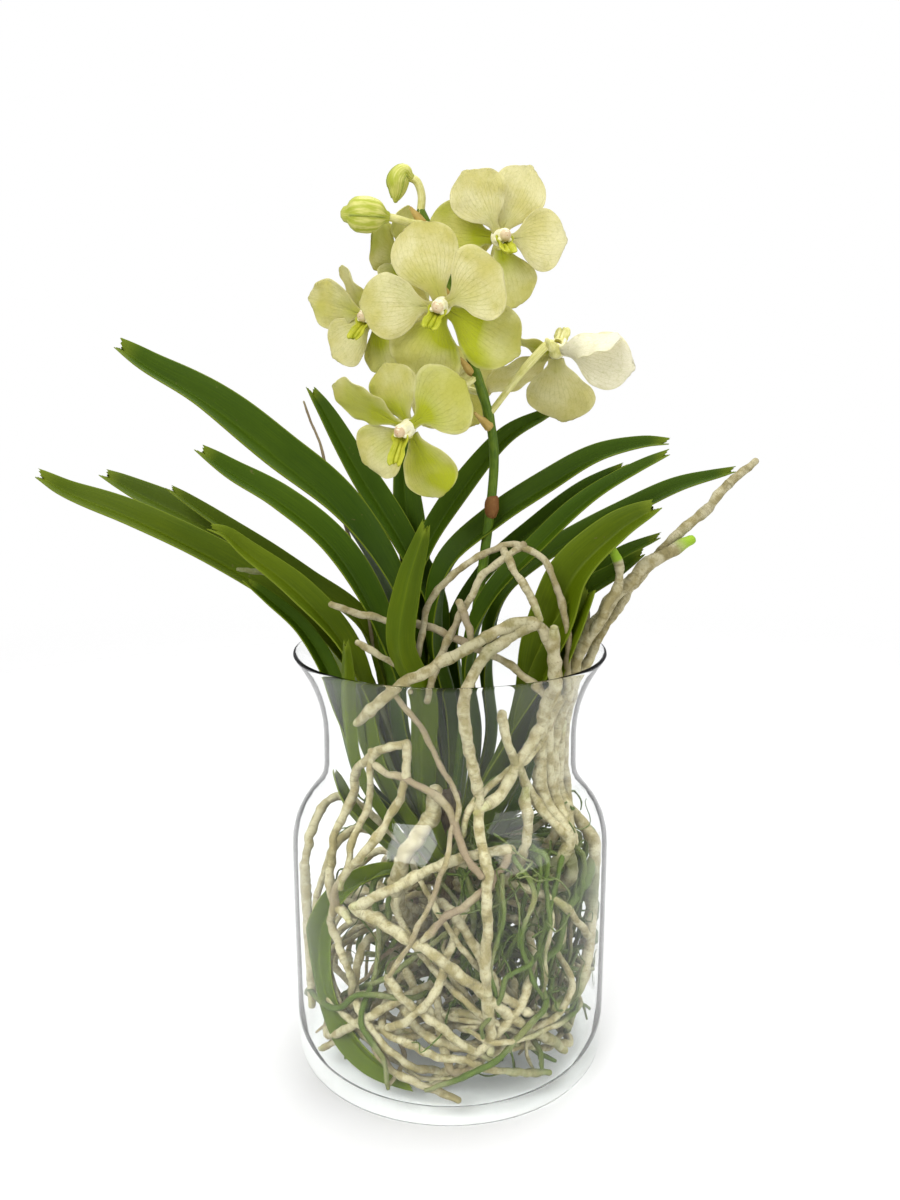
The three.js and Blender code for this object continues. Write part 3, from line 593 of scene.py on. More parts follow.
def course(points: "list[Point] | np.ndarray", step: float) -> np.ndarray:
    """Evenly spaced places on a centripetal curve through the points.

    Args:
        points: points of the route, in millimetres.
        step: distance between places.

    Returns:
        The places.
    """
    base = np.array(points, dtype=float)
    ends = (2 * base[0] - base[1], 2 * base[-1] - base[-2])
    full = np.vstack([ends[0], base, ends[1]])
    dense = []
    for i in range(1, len(full) - 2):
        gaps = np.maximum(np.linalg.norm(np.diff(full[i - 1:i + 3], axis=0), axis=1) ** 0.5, 1e-4)
        before, here, after = gaps
        p0, p1, p2, p3 = full[i - 1:i + 3]
        start = ((p1 - p0) / before - (p2 - p0) / (before + here) + (p2 - p1) / here) * here
        end = ((p2 - p1) / here - (p3 - p1) / (here + after) + (p3 - p2) / after) * here
        t = np.linspace(0.0, 1.0, 24, endpoint=False)[:, None]
        dense.append(p1 + start * t + (3 * (p2 - p1) - 2 * start - end) * t ** 2
                     + (2 * (p1 - p2) + start + end) * t ** 3)
    dense = np.vstack([*dense, full[-2][None]])
    run = run_length(dense)
    count = max(3, int(round(run[-1] / step)) + 1)
    wanted = np.linspace(0.0, run[-1], count)
    return np.stack([np.interp(wanted, run, dense[:, k]) for k in range(3)], axis=1)


def run_length(places: np.ndarray) -> np.ndarray:
    """Distance along a route up to each of its places."""
    return np.concatenate([[0.0], np.cumsum(np.linalg.norm(np.diff(places, axis=0), axis=1))])


def bunched(count: int, share: float) -> np.ndarray:
    """Places from -1 to 1 that lie closer together towards both ends.

    Args:
        count: number of places.
        share: share of a quarter turn that the places are spread over.

    Returns:
        The places.
    """
    return np.sin(np.linspace(-1.0, 1.0, count) * math.pi / 2 * share) / math.sin(math.pi / 2 * share)


def carried_frames(places: np.ndarray,
                   first: "Point | np.ndarray") -> tuple[np.ndarray, np.ndarray, np.ndarray]:
    """Directions along and across a route that turn as little as they can.

    Args:
        places: places of the route.
        first: direction that the first across leans to.

    Returns:
        Along, across and the third direction, for each place.
    """
    along = unit(np.gradient(places, axis=0))
    across = np.zeros_like(along)
    carried = np.array(first, dtype=float)
    for i, direction in enumerate(along):
        carried = carried - direction * (carried @ direction)
        carried = carried / np.linalg.norm(carried)
        across[i] = carried
    return along, across, np.cross(along, across)


class Skin:
    """Points, faces and marks of one piece, gathered before its mesh is made."""

    def __init__(self, name: str) -> None:
        """Starts an empty skin.

        Args:
            name: name of the piece.
        """
        self.name = name
        self.points: list[np.ndarray] = []
        self.faces: list[list[int]] = []
        self.finishes: list[Finish] = []
        self.slots: list[int] = []
        self.marks: dict[str, list[np.ndarray]] = {}
        self.size = 0

    def _add_points(self, points: np.ndarray, marks: dict[str, np.ndarray | float]) -> None:
        """Adds points with their marks.

        Args:
            points: three to a row, in millimetres.
            marks: values of one or more marks at the points.
        """
        flat = points.reshape(-1, 3)
        self.points.append(flat)
        for name in set(self.marks) | set(marks):
            if name not in self.marks:
                self.marks[name] = [np.zeros(self.size)]
            value = np.broadcast_to(np.asarray(marks.get(name, 0.0), dtype=float), points.shape[:-1])
            self.marks[name].append(value.reshape(-1))
        self.size += len(flat)

    def _slot(self, finish: Finish) -> int:
        """Number of the finish in this piece.

        Args:
            finish: a finish, added to the piece if it is new there.

        Returns:
            The number.
        """
        if finish not in self.finishes:
            self.finishes.append(finish)
        return self.finishes.index(finish)

    def rings(self, points: np.ndarray, finish: Finish, blade: bool = False,
              **marks: np.ndarray | float) -> None:
        """Closed skin over rings of points.

        Args:
            points: rings by points by three, in millimetres.
            finish: what the skin is dressed in.
            blade: whether a ring is an upper row and a lower row, closed at the ends by strips.
            marks: values at the points.
        """
        rows, count = points.shape[:2]
        base = self.size
        self._add_points(points, marks)
        grid = base + np.arange(rows * count).reshape(rows, count)
        after = np.roll(grid, -1, axis=1)
        quads = np.stack([grid[:-1], after[:-1], after[1:], grid[1:]], axis=-1).reshape(-1, 4)
        faces = quads.tolist()
        for ring, turned in ((grid[0], True), (grid[-1], False)):
            loop = ring.tolist()
            caps = [loop]
            if blade:
                caps = [[loop[j], loop[j + 1], loop[count - 2 - j], loop[count - 1 - j]]
                        for j in range(count // 2 - 1)]
            faces += [cap[::-1] for cap in caps] if turned else caps
        self.faces += faces
        self.slots += [self._slot(finish)] * len(faces)

    def tube(self, places: np.ndarray, radius: "np.ndarray | float", sides: int, finish: Finish,
             rough: float = 0.0, seed: int = 0, flute: tuple[int, float] = (0, 0.0),
             **marks: np.ndarray | float) -> None:
        """Tube along places, rounded off at both ends.

        Args:
            places: centres of its rings, in millimetres.
            radius: radius at each ring.
            sides: points around it.
            finish: what it is dressed in.
            rough: share of the radius that its bumps reach.
            seed: pattern of the bumps.
            flute: number and depth of its lengthwise ribs.
            marks: values at each ring.
        """
        radius = np.broadcast_to(np.asarray(radius, dtype=float), (len(places),)).copy()
        along, across, other = carried_frames(places, (0.31, 0.95, 0.12))
        first = [places[0] - along[0] * radius[0] * push for push in (0.8, 0.45)]
        last = [places[-1] + along[-1] * radius[-1] * push for push in (0.45, 0.8)]
        places = np.vstack([first, places, last])
        radius = np.concatenate([radius[:1] * [0.35, 0.85], radius, radius[-1:] * [0.85, 0.35]])
        pad = ((2, 2), (0, 0))
        across, other = np.pad(across, pad, mode="edge"), np.pad(other, pad, mode="edge")
        angle = np.linspace(0.0, 2 * math.pi, sides, endpoint=False)
        spread = (np.cos(angle)[None, :, None] * across[:, None]
                  + np.sin(angle)[None, :, None] * other[:, None])
        scale = radius[:, None] * (1.0 + flute[1] * np.cos(flute[0] * angle))[None, :]
        points = places[:, None] + spread * scale[..., None]
        if rough:
            bumps = ripple(points, 5.5 * float(radius.mean()), seed)
            bumps = bumps + 0.6 * ripple(points, 2.2 * float(radius.mean()), seed + 1)
            points = points + spread * (scale * rough * bumps)[..., None]
        run = run_length(places)[:, None]
        shown = {}
        for name, value in marks.items():
            at_rings = np.broadcast_to(np.asarray(value, dtype=float), (len(places) - 4,))
            shown[name] = np.pad(at_rings, 2, mode="edge")[:, None]
        around = (angle / (2 * math.pi))[None, :]
        self.rings(points, finish, across=np.abs(around * 2 - 1), length=run * 0.01 + seed % 97, **shown)

    def make(self, slot: str, *nodes: str) -> bpy.types.Object:
        """Makes the object, puts it on the plant's body and lets it stand for CAD nodes.

        Args:
            slot: material slot of the record; not used.
            nodes: CAD nodes that it stands for.

        Returns:
            The object.
        """
        mesh = bpy.data.meshes.new(self.name)
        mesh.from_pydata((np.vstack(self.points) * MM).tolist(), [], self.faces)
        for finish in self.finishes:
            mesh.materials.append(finish.material)
        mesh.polygons.foreach_set("material_index", self.slots)
        mesh.polygons.foreach_set("use_smooth", [True] * len(self.faces))
        for name, values in self.marks.items():
            layer = mesh.attributes.new(name, "FLOAT", "POINT")
            layer.data.foreach_set("value", np.concatenate(values).astype(np.float32))
        mesh.update()
        piece = bpy.data.objects.new(self.name, mesh)
        bpy.context.collection.objects.link(piece)
        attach(piece, "root")
        if nodes:
            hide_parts(*nodes)
        triangles = sum(len(face) - 2 for face in self.faces)
        log.info("%s: %d triangles", self.name, triangles)
        return piece


# ------------------------------------------------------------------ the vase
@dataclass
class Vase:
    """Blown glass vase with a wide body, a shoulder, a neck and a flared lip, in millimetres."""

    height: float = 250.0
    outside: list[tuple[float, float]] = field(default_factory=lambda: [
        (0, 0.0), (60, 0.0), (84, 0.0), (87, 0.2), (89.8, 0.9), (91.8, 2.3), (93.2, 4.6), (93.9, 8),
        (94.2, 13), (94.3, 24), (94.4, 40), (94.8, 90), (95, 120), (94.9, 134), (94.2, 142), (92, 150),
        (88.2, 157.2), (83, 164), (79.2, 169), (76.4, 174.5), (75.2, 180), (75, 186),
        (75, 204), (75.8, 213), (77.8, 222), (80.3, 229.5), (83.4, 236.6),
        (87.6, 244), (90.6, 248.4), (91.5, 249.9), (91.3, 250.8), (90.3, 251.1),
    ])
    inside: list[tuple[float, float]] = field(default_factory=lambda: [
        (89.2, 250.4), (87.9, 248), (84.9, 243.7), (81, 237.4), (77.6, 230), (75, 222.6), (73.0, 213),
        (72.1, 204), (72.1, 186), (72.4, 179.6), (73.7, 173.4), (76.8, 167.5), (80.6, 162.6), (85.4, 156.4),
        (89, 149.5), (91.2, 142), (92, 134), (92.1, 120), (92, 90), (91.6, 40), (91, 24), (89.6, 15.5),
        (87, 11), (83.2, 8.3), (78, 7.2), (60, 7.0), (0, 7.0),
    ])
    sides: int = 160

    def inner_radius(self, height: np.ndarray) -> np.ndarray:
        """Radius of the hollow at each height."""
        pairs = [(z, r) for r, z in reversed(self.inside[:-2])]
        return np.interp(height, [z for z, _ in pairs], [r for _, r in pairs])

    def keep_inside(self, points: np.ndarray, margin: "np.ndarray | float") -> np.ndarray:
        """Moves points in from the glass, to leave room for something of that radius.

        Args:
            points: places in millimetres.
            margin: radius to leave room for.

        Returns:
            The moved places.
        """
        low = points[..., 2] < self.height + 4
        height = np.where(low, np.maximum(points[..., 2], 7.3 + margin), points[..., 2])
        room = self.inner_radius(height) - margin - 0.5
        reach = np.hypot(points[..., 0], points[..., 1])
        scale = np.where(low & (reach > room), room / np.maximum(reach, 1e-6), 1.0)
        return np.stack([points[..., 0] * scale, points[..., 1] * scale, height], axis=-1)

    def build(self) -> bpy.types.Object:
        """Turns the glass.

        Returns:
            The vase.
        """
        skin = Skin("clear_glass_vase")
        outline = np.array([*self.outside, *self.inside], dtype=float)
        flat = np.column_stack([outline[:, 0], np.zeros(len(outline)), outline[:, 1]])
        fine = []
        for first, second in zip(flat[:-1], flat[1:]):
            parts = max(1, int(np.linalg.norm(second - first) / 9.0))
            fine += [first + (second - first) * k / parts for k in range(parts)]
        fine = np.array([*fine, flat[-1]])
        fine[0, 0] = fine[-1, 0] = 0.05
        angle = np.linspace(0.0, 2 * math.pi, self.sides, endpoint=False)
        turn = np.stack([np.cos(angle), np.sin(angle)], axis=1)
        rings = np.zeros((len(fine), self.sides, 3))
        rings[..., :2] = fine[:, None, :1] * turn[None]
        wobble = 1.0 + 0.0012 * np.sin(2 * angle + 0.4) + 0.0006 * np.sin(5 * angle + fine[:, 2:3] * 0.04)
        rings[..., :2] *= wobble[..., None]
        rings[..., 2] = fine[:, 2:3]
        skin.rings(rings, Finish.GLASS)
        return skin.make("vase_glass", "glass_vase")


# ------------------------------------------------------------------ leaves
UP_VIEWER = (0, -0.62, 0.78)
UP_BACK = (0, -0.15, 1)


@dataclass
class Leaf:
    """Strap leaf with a V section and a bitten-off tip, in millimetres and degrees."""

    name: str
    finish: Finish
    half_width: float
    base_look: Point
    tip_look: Point
    keel: list[Point]
    thickness: float = 1.7
    edge: float = 0.75
    fold_base: float = 58.0
    fold_blade: float = 40.0
    tip_lobes: tuple[float, float] = (3.0, 1.2)
    columns: int = 19
    step: float = 3.2

    def mid_surface(self, vase: Vase, seed: int) -> tuple[np.ndarray, np.ndarray, np.ndarray, np.ndarray]:
        """Middle of the blade, with its veins of waviness and its notched end.

        Args:
            vase: glass that the leaf stays clear of.
            seed: which waves.

        Returns:
            Points, place along from 0 to 1, place across from -1 to 1, and distance along.
        """
        places = course(self.keel, self.step)
        run = run_length(places)
        t = run / run[-1]
        t = np.concatenate([t, [1.0, 1.0]])
        places = np.vstack([places, places[-1:], places[-1:]])
        along = unit(np.gradient(course(self.keel, self.step), axis=0))
        along = np.vstack([along, along[-1:], along[-1:]])
        share = smooth(t * 1.6 - 0.3)[:, None]
        low_look = unit(np.array(self.base_look, float))
        high_look = unit(np.array(self.tip_look, float))
        look = low_look * (1 - share) + high_look * share
        inward = unit(look - along * np.sum(look * along, axis=1, keepdims=True))
        sideways = np.cross(along, inward)
        fold = np.radians(self.fold_base + (self.fold_blade - self.fold_base) * smooth(t * 1.7))
        fold = fold + 0.05 * np.sin(run[-1] * t * 0.045 + seed)
        widths = [(0, 0.62), (0.12, 0.78), (0.35, 0.98), (0.55, 1.0), (0.74, 0.96), (0.88, 0.78),
                  (0.96, 0.54), (1.0, 0.30)]
        width = self.half_width * profile(widths, t)
        width = width * (1 + 0.018 * np.sin(run[-1] * t * 0.09 + 2.0 * seed))
        arms = bunched(self.columns, 0.82)
        size = np.abs(arms)
        valley = np.sqrt(size ** 2 + 0.006) - 0.077 * (1 - size)
        flare = 0.10 * size ** 5
        across_part = arms[None, :] * (width * np.cos(fold))[:, None]
        inward_part = valley[None, :] * (width * np.sin(fold))[:, None] - flare[None, :] * width[:, None]
        points = (places[:, None] + sideways[:, None] * across_part[..., None]
                  + inward[:, None] * inward_part[..., None])
        points = points + inward[:, None] * (0.35 * ripple(points, 60.0, seed))[..., None]
        teeth = 0.7 * np.sin(arms * 17.0 + seed) * (size > 0.1)
        left, right = self.tip_lobes if seed % 3 else self.tip_lobes[::-1]
        slip = np.where(arms < 0, left, right) * size ** 1.3 - 1.5 * (1 - size) ** 3 + teeth
        push = smooth(t, 0.955, 1.0)
        push[-3:] = (0.90, 0.97, 1.0)
        points = points + along[:, None] * (push[:, None] * slip[None, :])[..., None]
        return vase.keep_inside(points, 0.9), t, arms, run[-1] * t

    def build(self, vase: Vase, seed: int) -> bpy.types.Object:
        """Builds the leaf in place of its solid.

        Args:
            vase: glass that the leaf stays clear of.
            seed: which waves.

        Returns:
            The leaf.
        """
        skin = Skin(self.name + "_blade")
        middle, t, arms, run = self.mid_surface(vase, seed)
        rows = np.gradient(middle, axis=0)
        rows[-3:] = rows[-4]
        normal = unit(np.cross(rows, np.gradient(middle, axis=1)))
        half = self.thickness / 2 + (self.edge - self.thickness) / 2 * np.abs(arms) ** 0.7
        half = half[None, :] * (1 - 0.45 * smooth(t, 0.97, 1.0))[:, None]
        upper = middle + normal * half[..., None]
        lower = middle - normal * half[..., None]
        points = np.concatenate([upper, lower[:, ::-1]], axis=1)
        across = np.concatenate([(arms + 1) / 2, ((arms + 1) / 2)[::-1]])
        skin.rings(points, self.finish, blade=True, across=across[None, :], along=t[:, None],
                   length=(run * 0.01)[:, None] + seed * 7.3)
        return skin.make("leaf_young" if self.finish is Finish.LEAF_YOUNG else "leaf_dark", self.name)


def make_leaves(vase: Vase) -> None:
    """Builds every leaf.

    The routes and half widths of 18 of them are the output of a fitting program, as it wrote them. Those
    of leaf_back_steep, leaf_front_small, leaf_left_inner_short and leaf_hanging are not.

    Args:
        vase: glass that the leaves stay clear of.
    """
    leaves = [
        Leaf("leaf_left_outer", Finish.LEAF_DARK, 8, (1, 0.2, 0.3), UP_VIEWER, [(-8, -6, 112),
             (-30, -14, 146), (-55, -20, 178), (-63, -23, 212), (-70, -26, 243), (-83, -28, 267),
             (-101, -30, 285), (-112, -31, 295)]),
        Leaf("leaf_left_front", Finish.LEAF_YOUNG, 11, (1, 0.3, 0.2), UP_VIEWER, [(-7, -10, 120),
             (-28, -18, 152), (-45, -26, 190), (-51, -28, 229), (-61, -30, 260), (-86, -34, 291),
             (-112, -38, 313), (-122, -42, 323), (-128, -44, 326)]),
        Leaf("leaf_left_long", Finish.LEAF_YOUNG, 14, (1, 0, 0.2), UP_VIEWER, [(-8, 0, 118), (-34, 0, 150),
             (-53, 0, 190), (-61, 0, 225), (-76, 0, 255), (-100, -2, 279), (-134, -4, 302), (-180, -4, 326),
             (-218, -4, 342), (-233, -4, 351)]),
        Leaf("leaf_left_back", Finish.LEAF_YOUNG, 14.5, (1, -0.3, 0.2), UP_VIEWER, [(-8, 6, 122),
             (-32, 14, 155), (-48, 20, 192), (-61, 24, 225), (-80, 28, 255), (-107, 32, 285),
             (-145, 36, 314), (-188, 40, 336), (-210, 42, 348)]),
        Leaf("leaf_left_middle", Finish.LEAF_DARK, 13.5, (1, 0, 0.2), UP_VIEWER, [(-6, -4, 126),
             (-22, -8, 160), (-33, -10, 200), (-37, -11, 241), (-47, -12, 277), (-67, -13, 311),
             (-96, -14, 337), (-121, -15, 353), (-138, -16, 366)]),
        Leaf("leaf_left_upper", Finish.LEAF_DARK, 18.5, (1, 0, 0.2), UP_VIEWER, [(-4, 3, 132),
             (-14, 6, 170), (-22, 8, 210), (-29, 9, 251), (-43, 10, 292), (-66, 10, 329), (-101, 10, 361),
             (-139, 10, 391), (-171, 9, 411), (-187, 8, 423)]),
        Leaf("leaf_left_steep", Finish.LEAF_DARK, 12, (1, -0.6, 0.1), (0.5, -0.9, 0.2), [(-4, 10, 132),
             (-12, 18, 175), (-15, 24, 221), (-12, 30, 268), (-32, 36, 311), (-58, 42, 353), (-76, 46, 385),
             (-84, 48, 399)]),
        Leaf("leaf_back_steep", Finish.LEAF_DARK, 13, (0.5, -1, 0), (0.3, -1, 0.1), [(-2, 12, 138),
             (-8, 24, 185), (-14, 34, 235), (-22, 44, 285), (-28, 52, 335), (-30, 58, 372)]),
        Leaf("leaf_front_upright", Finish.LEAF_YOUNG, 10.5, (0.2, 1, 0), (0.1, 1, 0.2), [(-4, -14, 128),
             (-14, -26, 160), (-16, -38, 197), (-16, -50, 234), (-27, -56, 263), (-23, -57, 296),
             (-13, -54, 329)]),
        Leaf("leaf_front_small", Finish.LEAF_YOUNG, 6, (0.8, 0.6, 0), (0.4, 1, 0), [(-14, -16, 116),
             (-36, -26, 150), (-55, -32, 188), (-58, -36, 220), (-57, -46, 244), (-56, -56, 266)]),
        Leaf("leaf_left_inner_short", Finish.LEAF_YOUNG, 8, (1, 0.2, 0.4), UP_BACK, [(-12, -10, 108),
             (-40, -16, 134), (-60, -20, 158), (-68, -20, 180)]),
        Leaf("leaf_hanging", Finish.LEAF_YOUNG, 11, (0.3, -0.3, 1), (-0.6, -0.8, 0.2), [(-14, -2, 104),
             (-44, -14, 112), (-67, -26, 103), (-76, -33, 84), (-73, -46, 62), (-62, -57, 43),
             (-45, -67, 27), (-22, -73, 15)]),
        Leaf("leaf_right_steep", Finish.LEAF_DARK, 10, (-1, -0.4, 0.1), (-0.4, -0.9, 0.3), [(3, 8, 130),
             (1, 16, 170), (-8, 22, 215), (-25, 26, 261), (-15, 30, 302), (9, 34, 342), (35, 38, 372),
             (62, 41, 387)]),
        Leaf("leaf_right_upper", Finish.LEAF_DARK, 12, (-1, 0, 0.2), UP_VIEWER, [(4, 3, 130), (6, 5, 168),
             (5, 6, 210), (-5, 7, 256), (0, 8, 296), (28, 9, 324), (60, 10, 346), (87, 11, 361),
             (112, 12, 368), (125, 12, 369)]),
        Leaf("leaf_right_narrow", Finish.LEAF_DARK, 8, (-1, -0.3, 0.2), UP_VIEWER, [(4, 10, 128),
             (10, 23, 166), (10, 28, 210), (5, 32, 256), (23, 34, 289), (53, 36, 318), (81, 38, 340),
             (105, 40, 354)]),
        Leaf("leaf_right_middle", Finish.LEAF_DARK, 8.5, (-1, 0.1, 0.2), UP_VIEWER, [(6, -4, 126),
             (14, -8, 162), (18, -10, 203), (13, -11, 247), (24, -12, 282), (52, -13, 314), (81, -14, 341),
             (105, -15, 356), (120, -16, 364)]),
        Leaf("leaf_right_long", Finish.LEAF_DARK, 9.5, (-1, 0, 0.2), UP_VIEWER, [(9, 5, 120), (20, 7, 158),
             (28, 9, 196), (25, 10, 243), (33, 11, 279), (63, 12, 306), (102, 12, 328), (134, 12, 344),
             (164, 12, 353)]),
        Leaf("leaf_right_front", Finish.LEAF_YOUNG, 18, (-1, 0.2, 0.2), UP_VIEWER, [(7, -8, 118),
             (22, -18, 154), (38, -25, 191), (50, -27, 226), (57, -28, 260), (68, -29, 296), (92, -30, 322),
             (112, -31, 336)]),
        Leaf("leaf_right_low", Finish.LEAF_DARK, 8, (-1, -0.1, 0.2), UP_VIEWER, [(8, 2, 114), (32, 5, 147),
             (49, 9, 186), (58, 9, 224), (66, 9, 257), (80, 8, 284), (99, 6, 303), (121, 4, 315)]),
        Leaf("leaf_right_outer", Finish.LEAF_DARK, 9.5, (-1, 0.2, 0.2), UP_VIEWER, [(9, -4, 110),
             (36, -8, 144), (50, -10, 184), (54, -11, 221), (57, -12, 255), (72, -12, 281), (95, -12, 297),
             (109, -13, 308)]),
        Leaf("leaf_right_short", Finish.LEAF_YOUNG, 14.5, (-1, 0.4, 0.2), (-0.2, -0.7, 0.7), [(8, -12, 114),
             (26, -21, 149), (43, -29, 186), (51, -31, 221), (59, -33, 248), (70, -35, 275),
             (77, -37, 291)]),
        Leaf("leaf_left_olive", Finish.LEAF_YOUNG, 9.5, (1, -0.1, 0.2), UP_VIEWER, [(-8, 4, 124),
             (-27, 9, 158), (-40, 13, 194), (-44, 15, 232), (-56, 17, 263), (-88, 20, 287), (-126, 22, 313),
             (-166, 24, 341)]),
    ]
    for seed, leaf in enumerate(leaves, 1):
        leaf.build(vase, seed)


# ------------------------------------------------------------------ stem and roots
class RootKind(Enum):
    """How a root has aged: moss, brown and green tip, each from 0 to 1."""

    SILVER = (0.05, 0.04, 0.25)
    TAN = (0.16, 0.34, 0.0)
    GREEN_TIP = (0.06, 0.06, 1.0)
    DRY = (0.10, 0.62, 0.0)
    MOSSY = (0.62, 0.10, 0.0)
    PALE = (0.02, 0.12, 0.0)
    OLIVE = (0.92, 0.30, 0.0)


@dataclass
class Root:
    """One aerial root: radii at its start and its end, kind and route, in millimetres."""

    start_radius: float
    end_radius: float
    kind: RootKind
    route: "list[Point] | np.ndarray"

    def grow(self, skin: Skin, vase: Vase, seed: int, step: float = 1.5, sides: int = 12) -> None:
        """Adds the root to a skin.

        Args:
            skin: what it is added to.
            vase: glass that the root stays clear of.
            seed: pattern of its bends and bumps.
            step: distance between its rings.
            sides: points around it.
        """
        places = course(self.route, step)
        run = run_length(places)
        t = run / run[-1]
        radius = self.start_radius + (self.end_radius - self.start_radius) * t
        fine = np.stack([ripple(places + 9.1 * k, 26.0, seed + k) for k in range(3)], axis=1)
        finest = np.stack([ripple(places + 5.3 * k, 11.0, seed + 3 + k) for k in range(3)], axis=1)
        fine = fine + 0.45 * finest
        hold = smooth(t, 0.0, 0.06)[:, None]
        places = places + fine * hold * min(0.9, 0.34 * self.end_radius)
        knots = ripple(np.column_stack([run, run * 0, run * 0]), 13.0, seed + 6)
        rings = ripple(np.column_stack([run, run * 0, run * 0]), 4.4, seed + 7)
        radius = radius * (1 + 0.12 * knots + 0.06 * rings)
        tip_start = 1.0 - 9.0 / max(run[-1], 20.0)
        radius = radius * (1 - 0.22 * smooth(t, tip_start, 1.0))
        places = vase.keep_inside(places, radius)
        moss, brown, tip = self.kind.value
        right_side = smooth(places[:, 0], 0.0, 60.0) * smooth(places[:, 2], 190.0, 130.0)
        patch = 0.5 + 0.5 * ripple(places, 46.0, seed + 8)
        skin.tube(places, radius, sides, Finish.ROOT, rough=0.055, seed=seed,
                  moss=np.clip(moss + 0.38 * right_side * patch + 0.12 * patch, 0, 1),
                  brown=np.clip(brown * (0.5 + patch) + 0.10 * (patch > 0.86), 0, 1),
                  tip=tip * smooth(t, tip_start - 0.02, tip_start + 0.03))


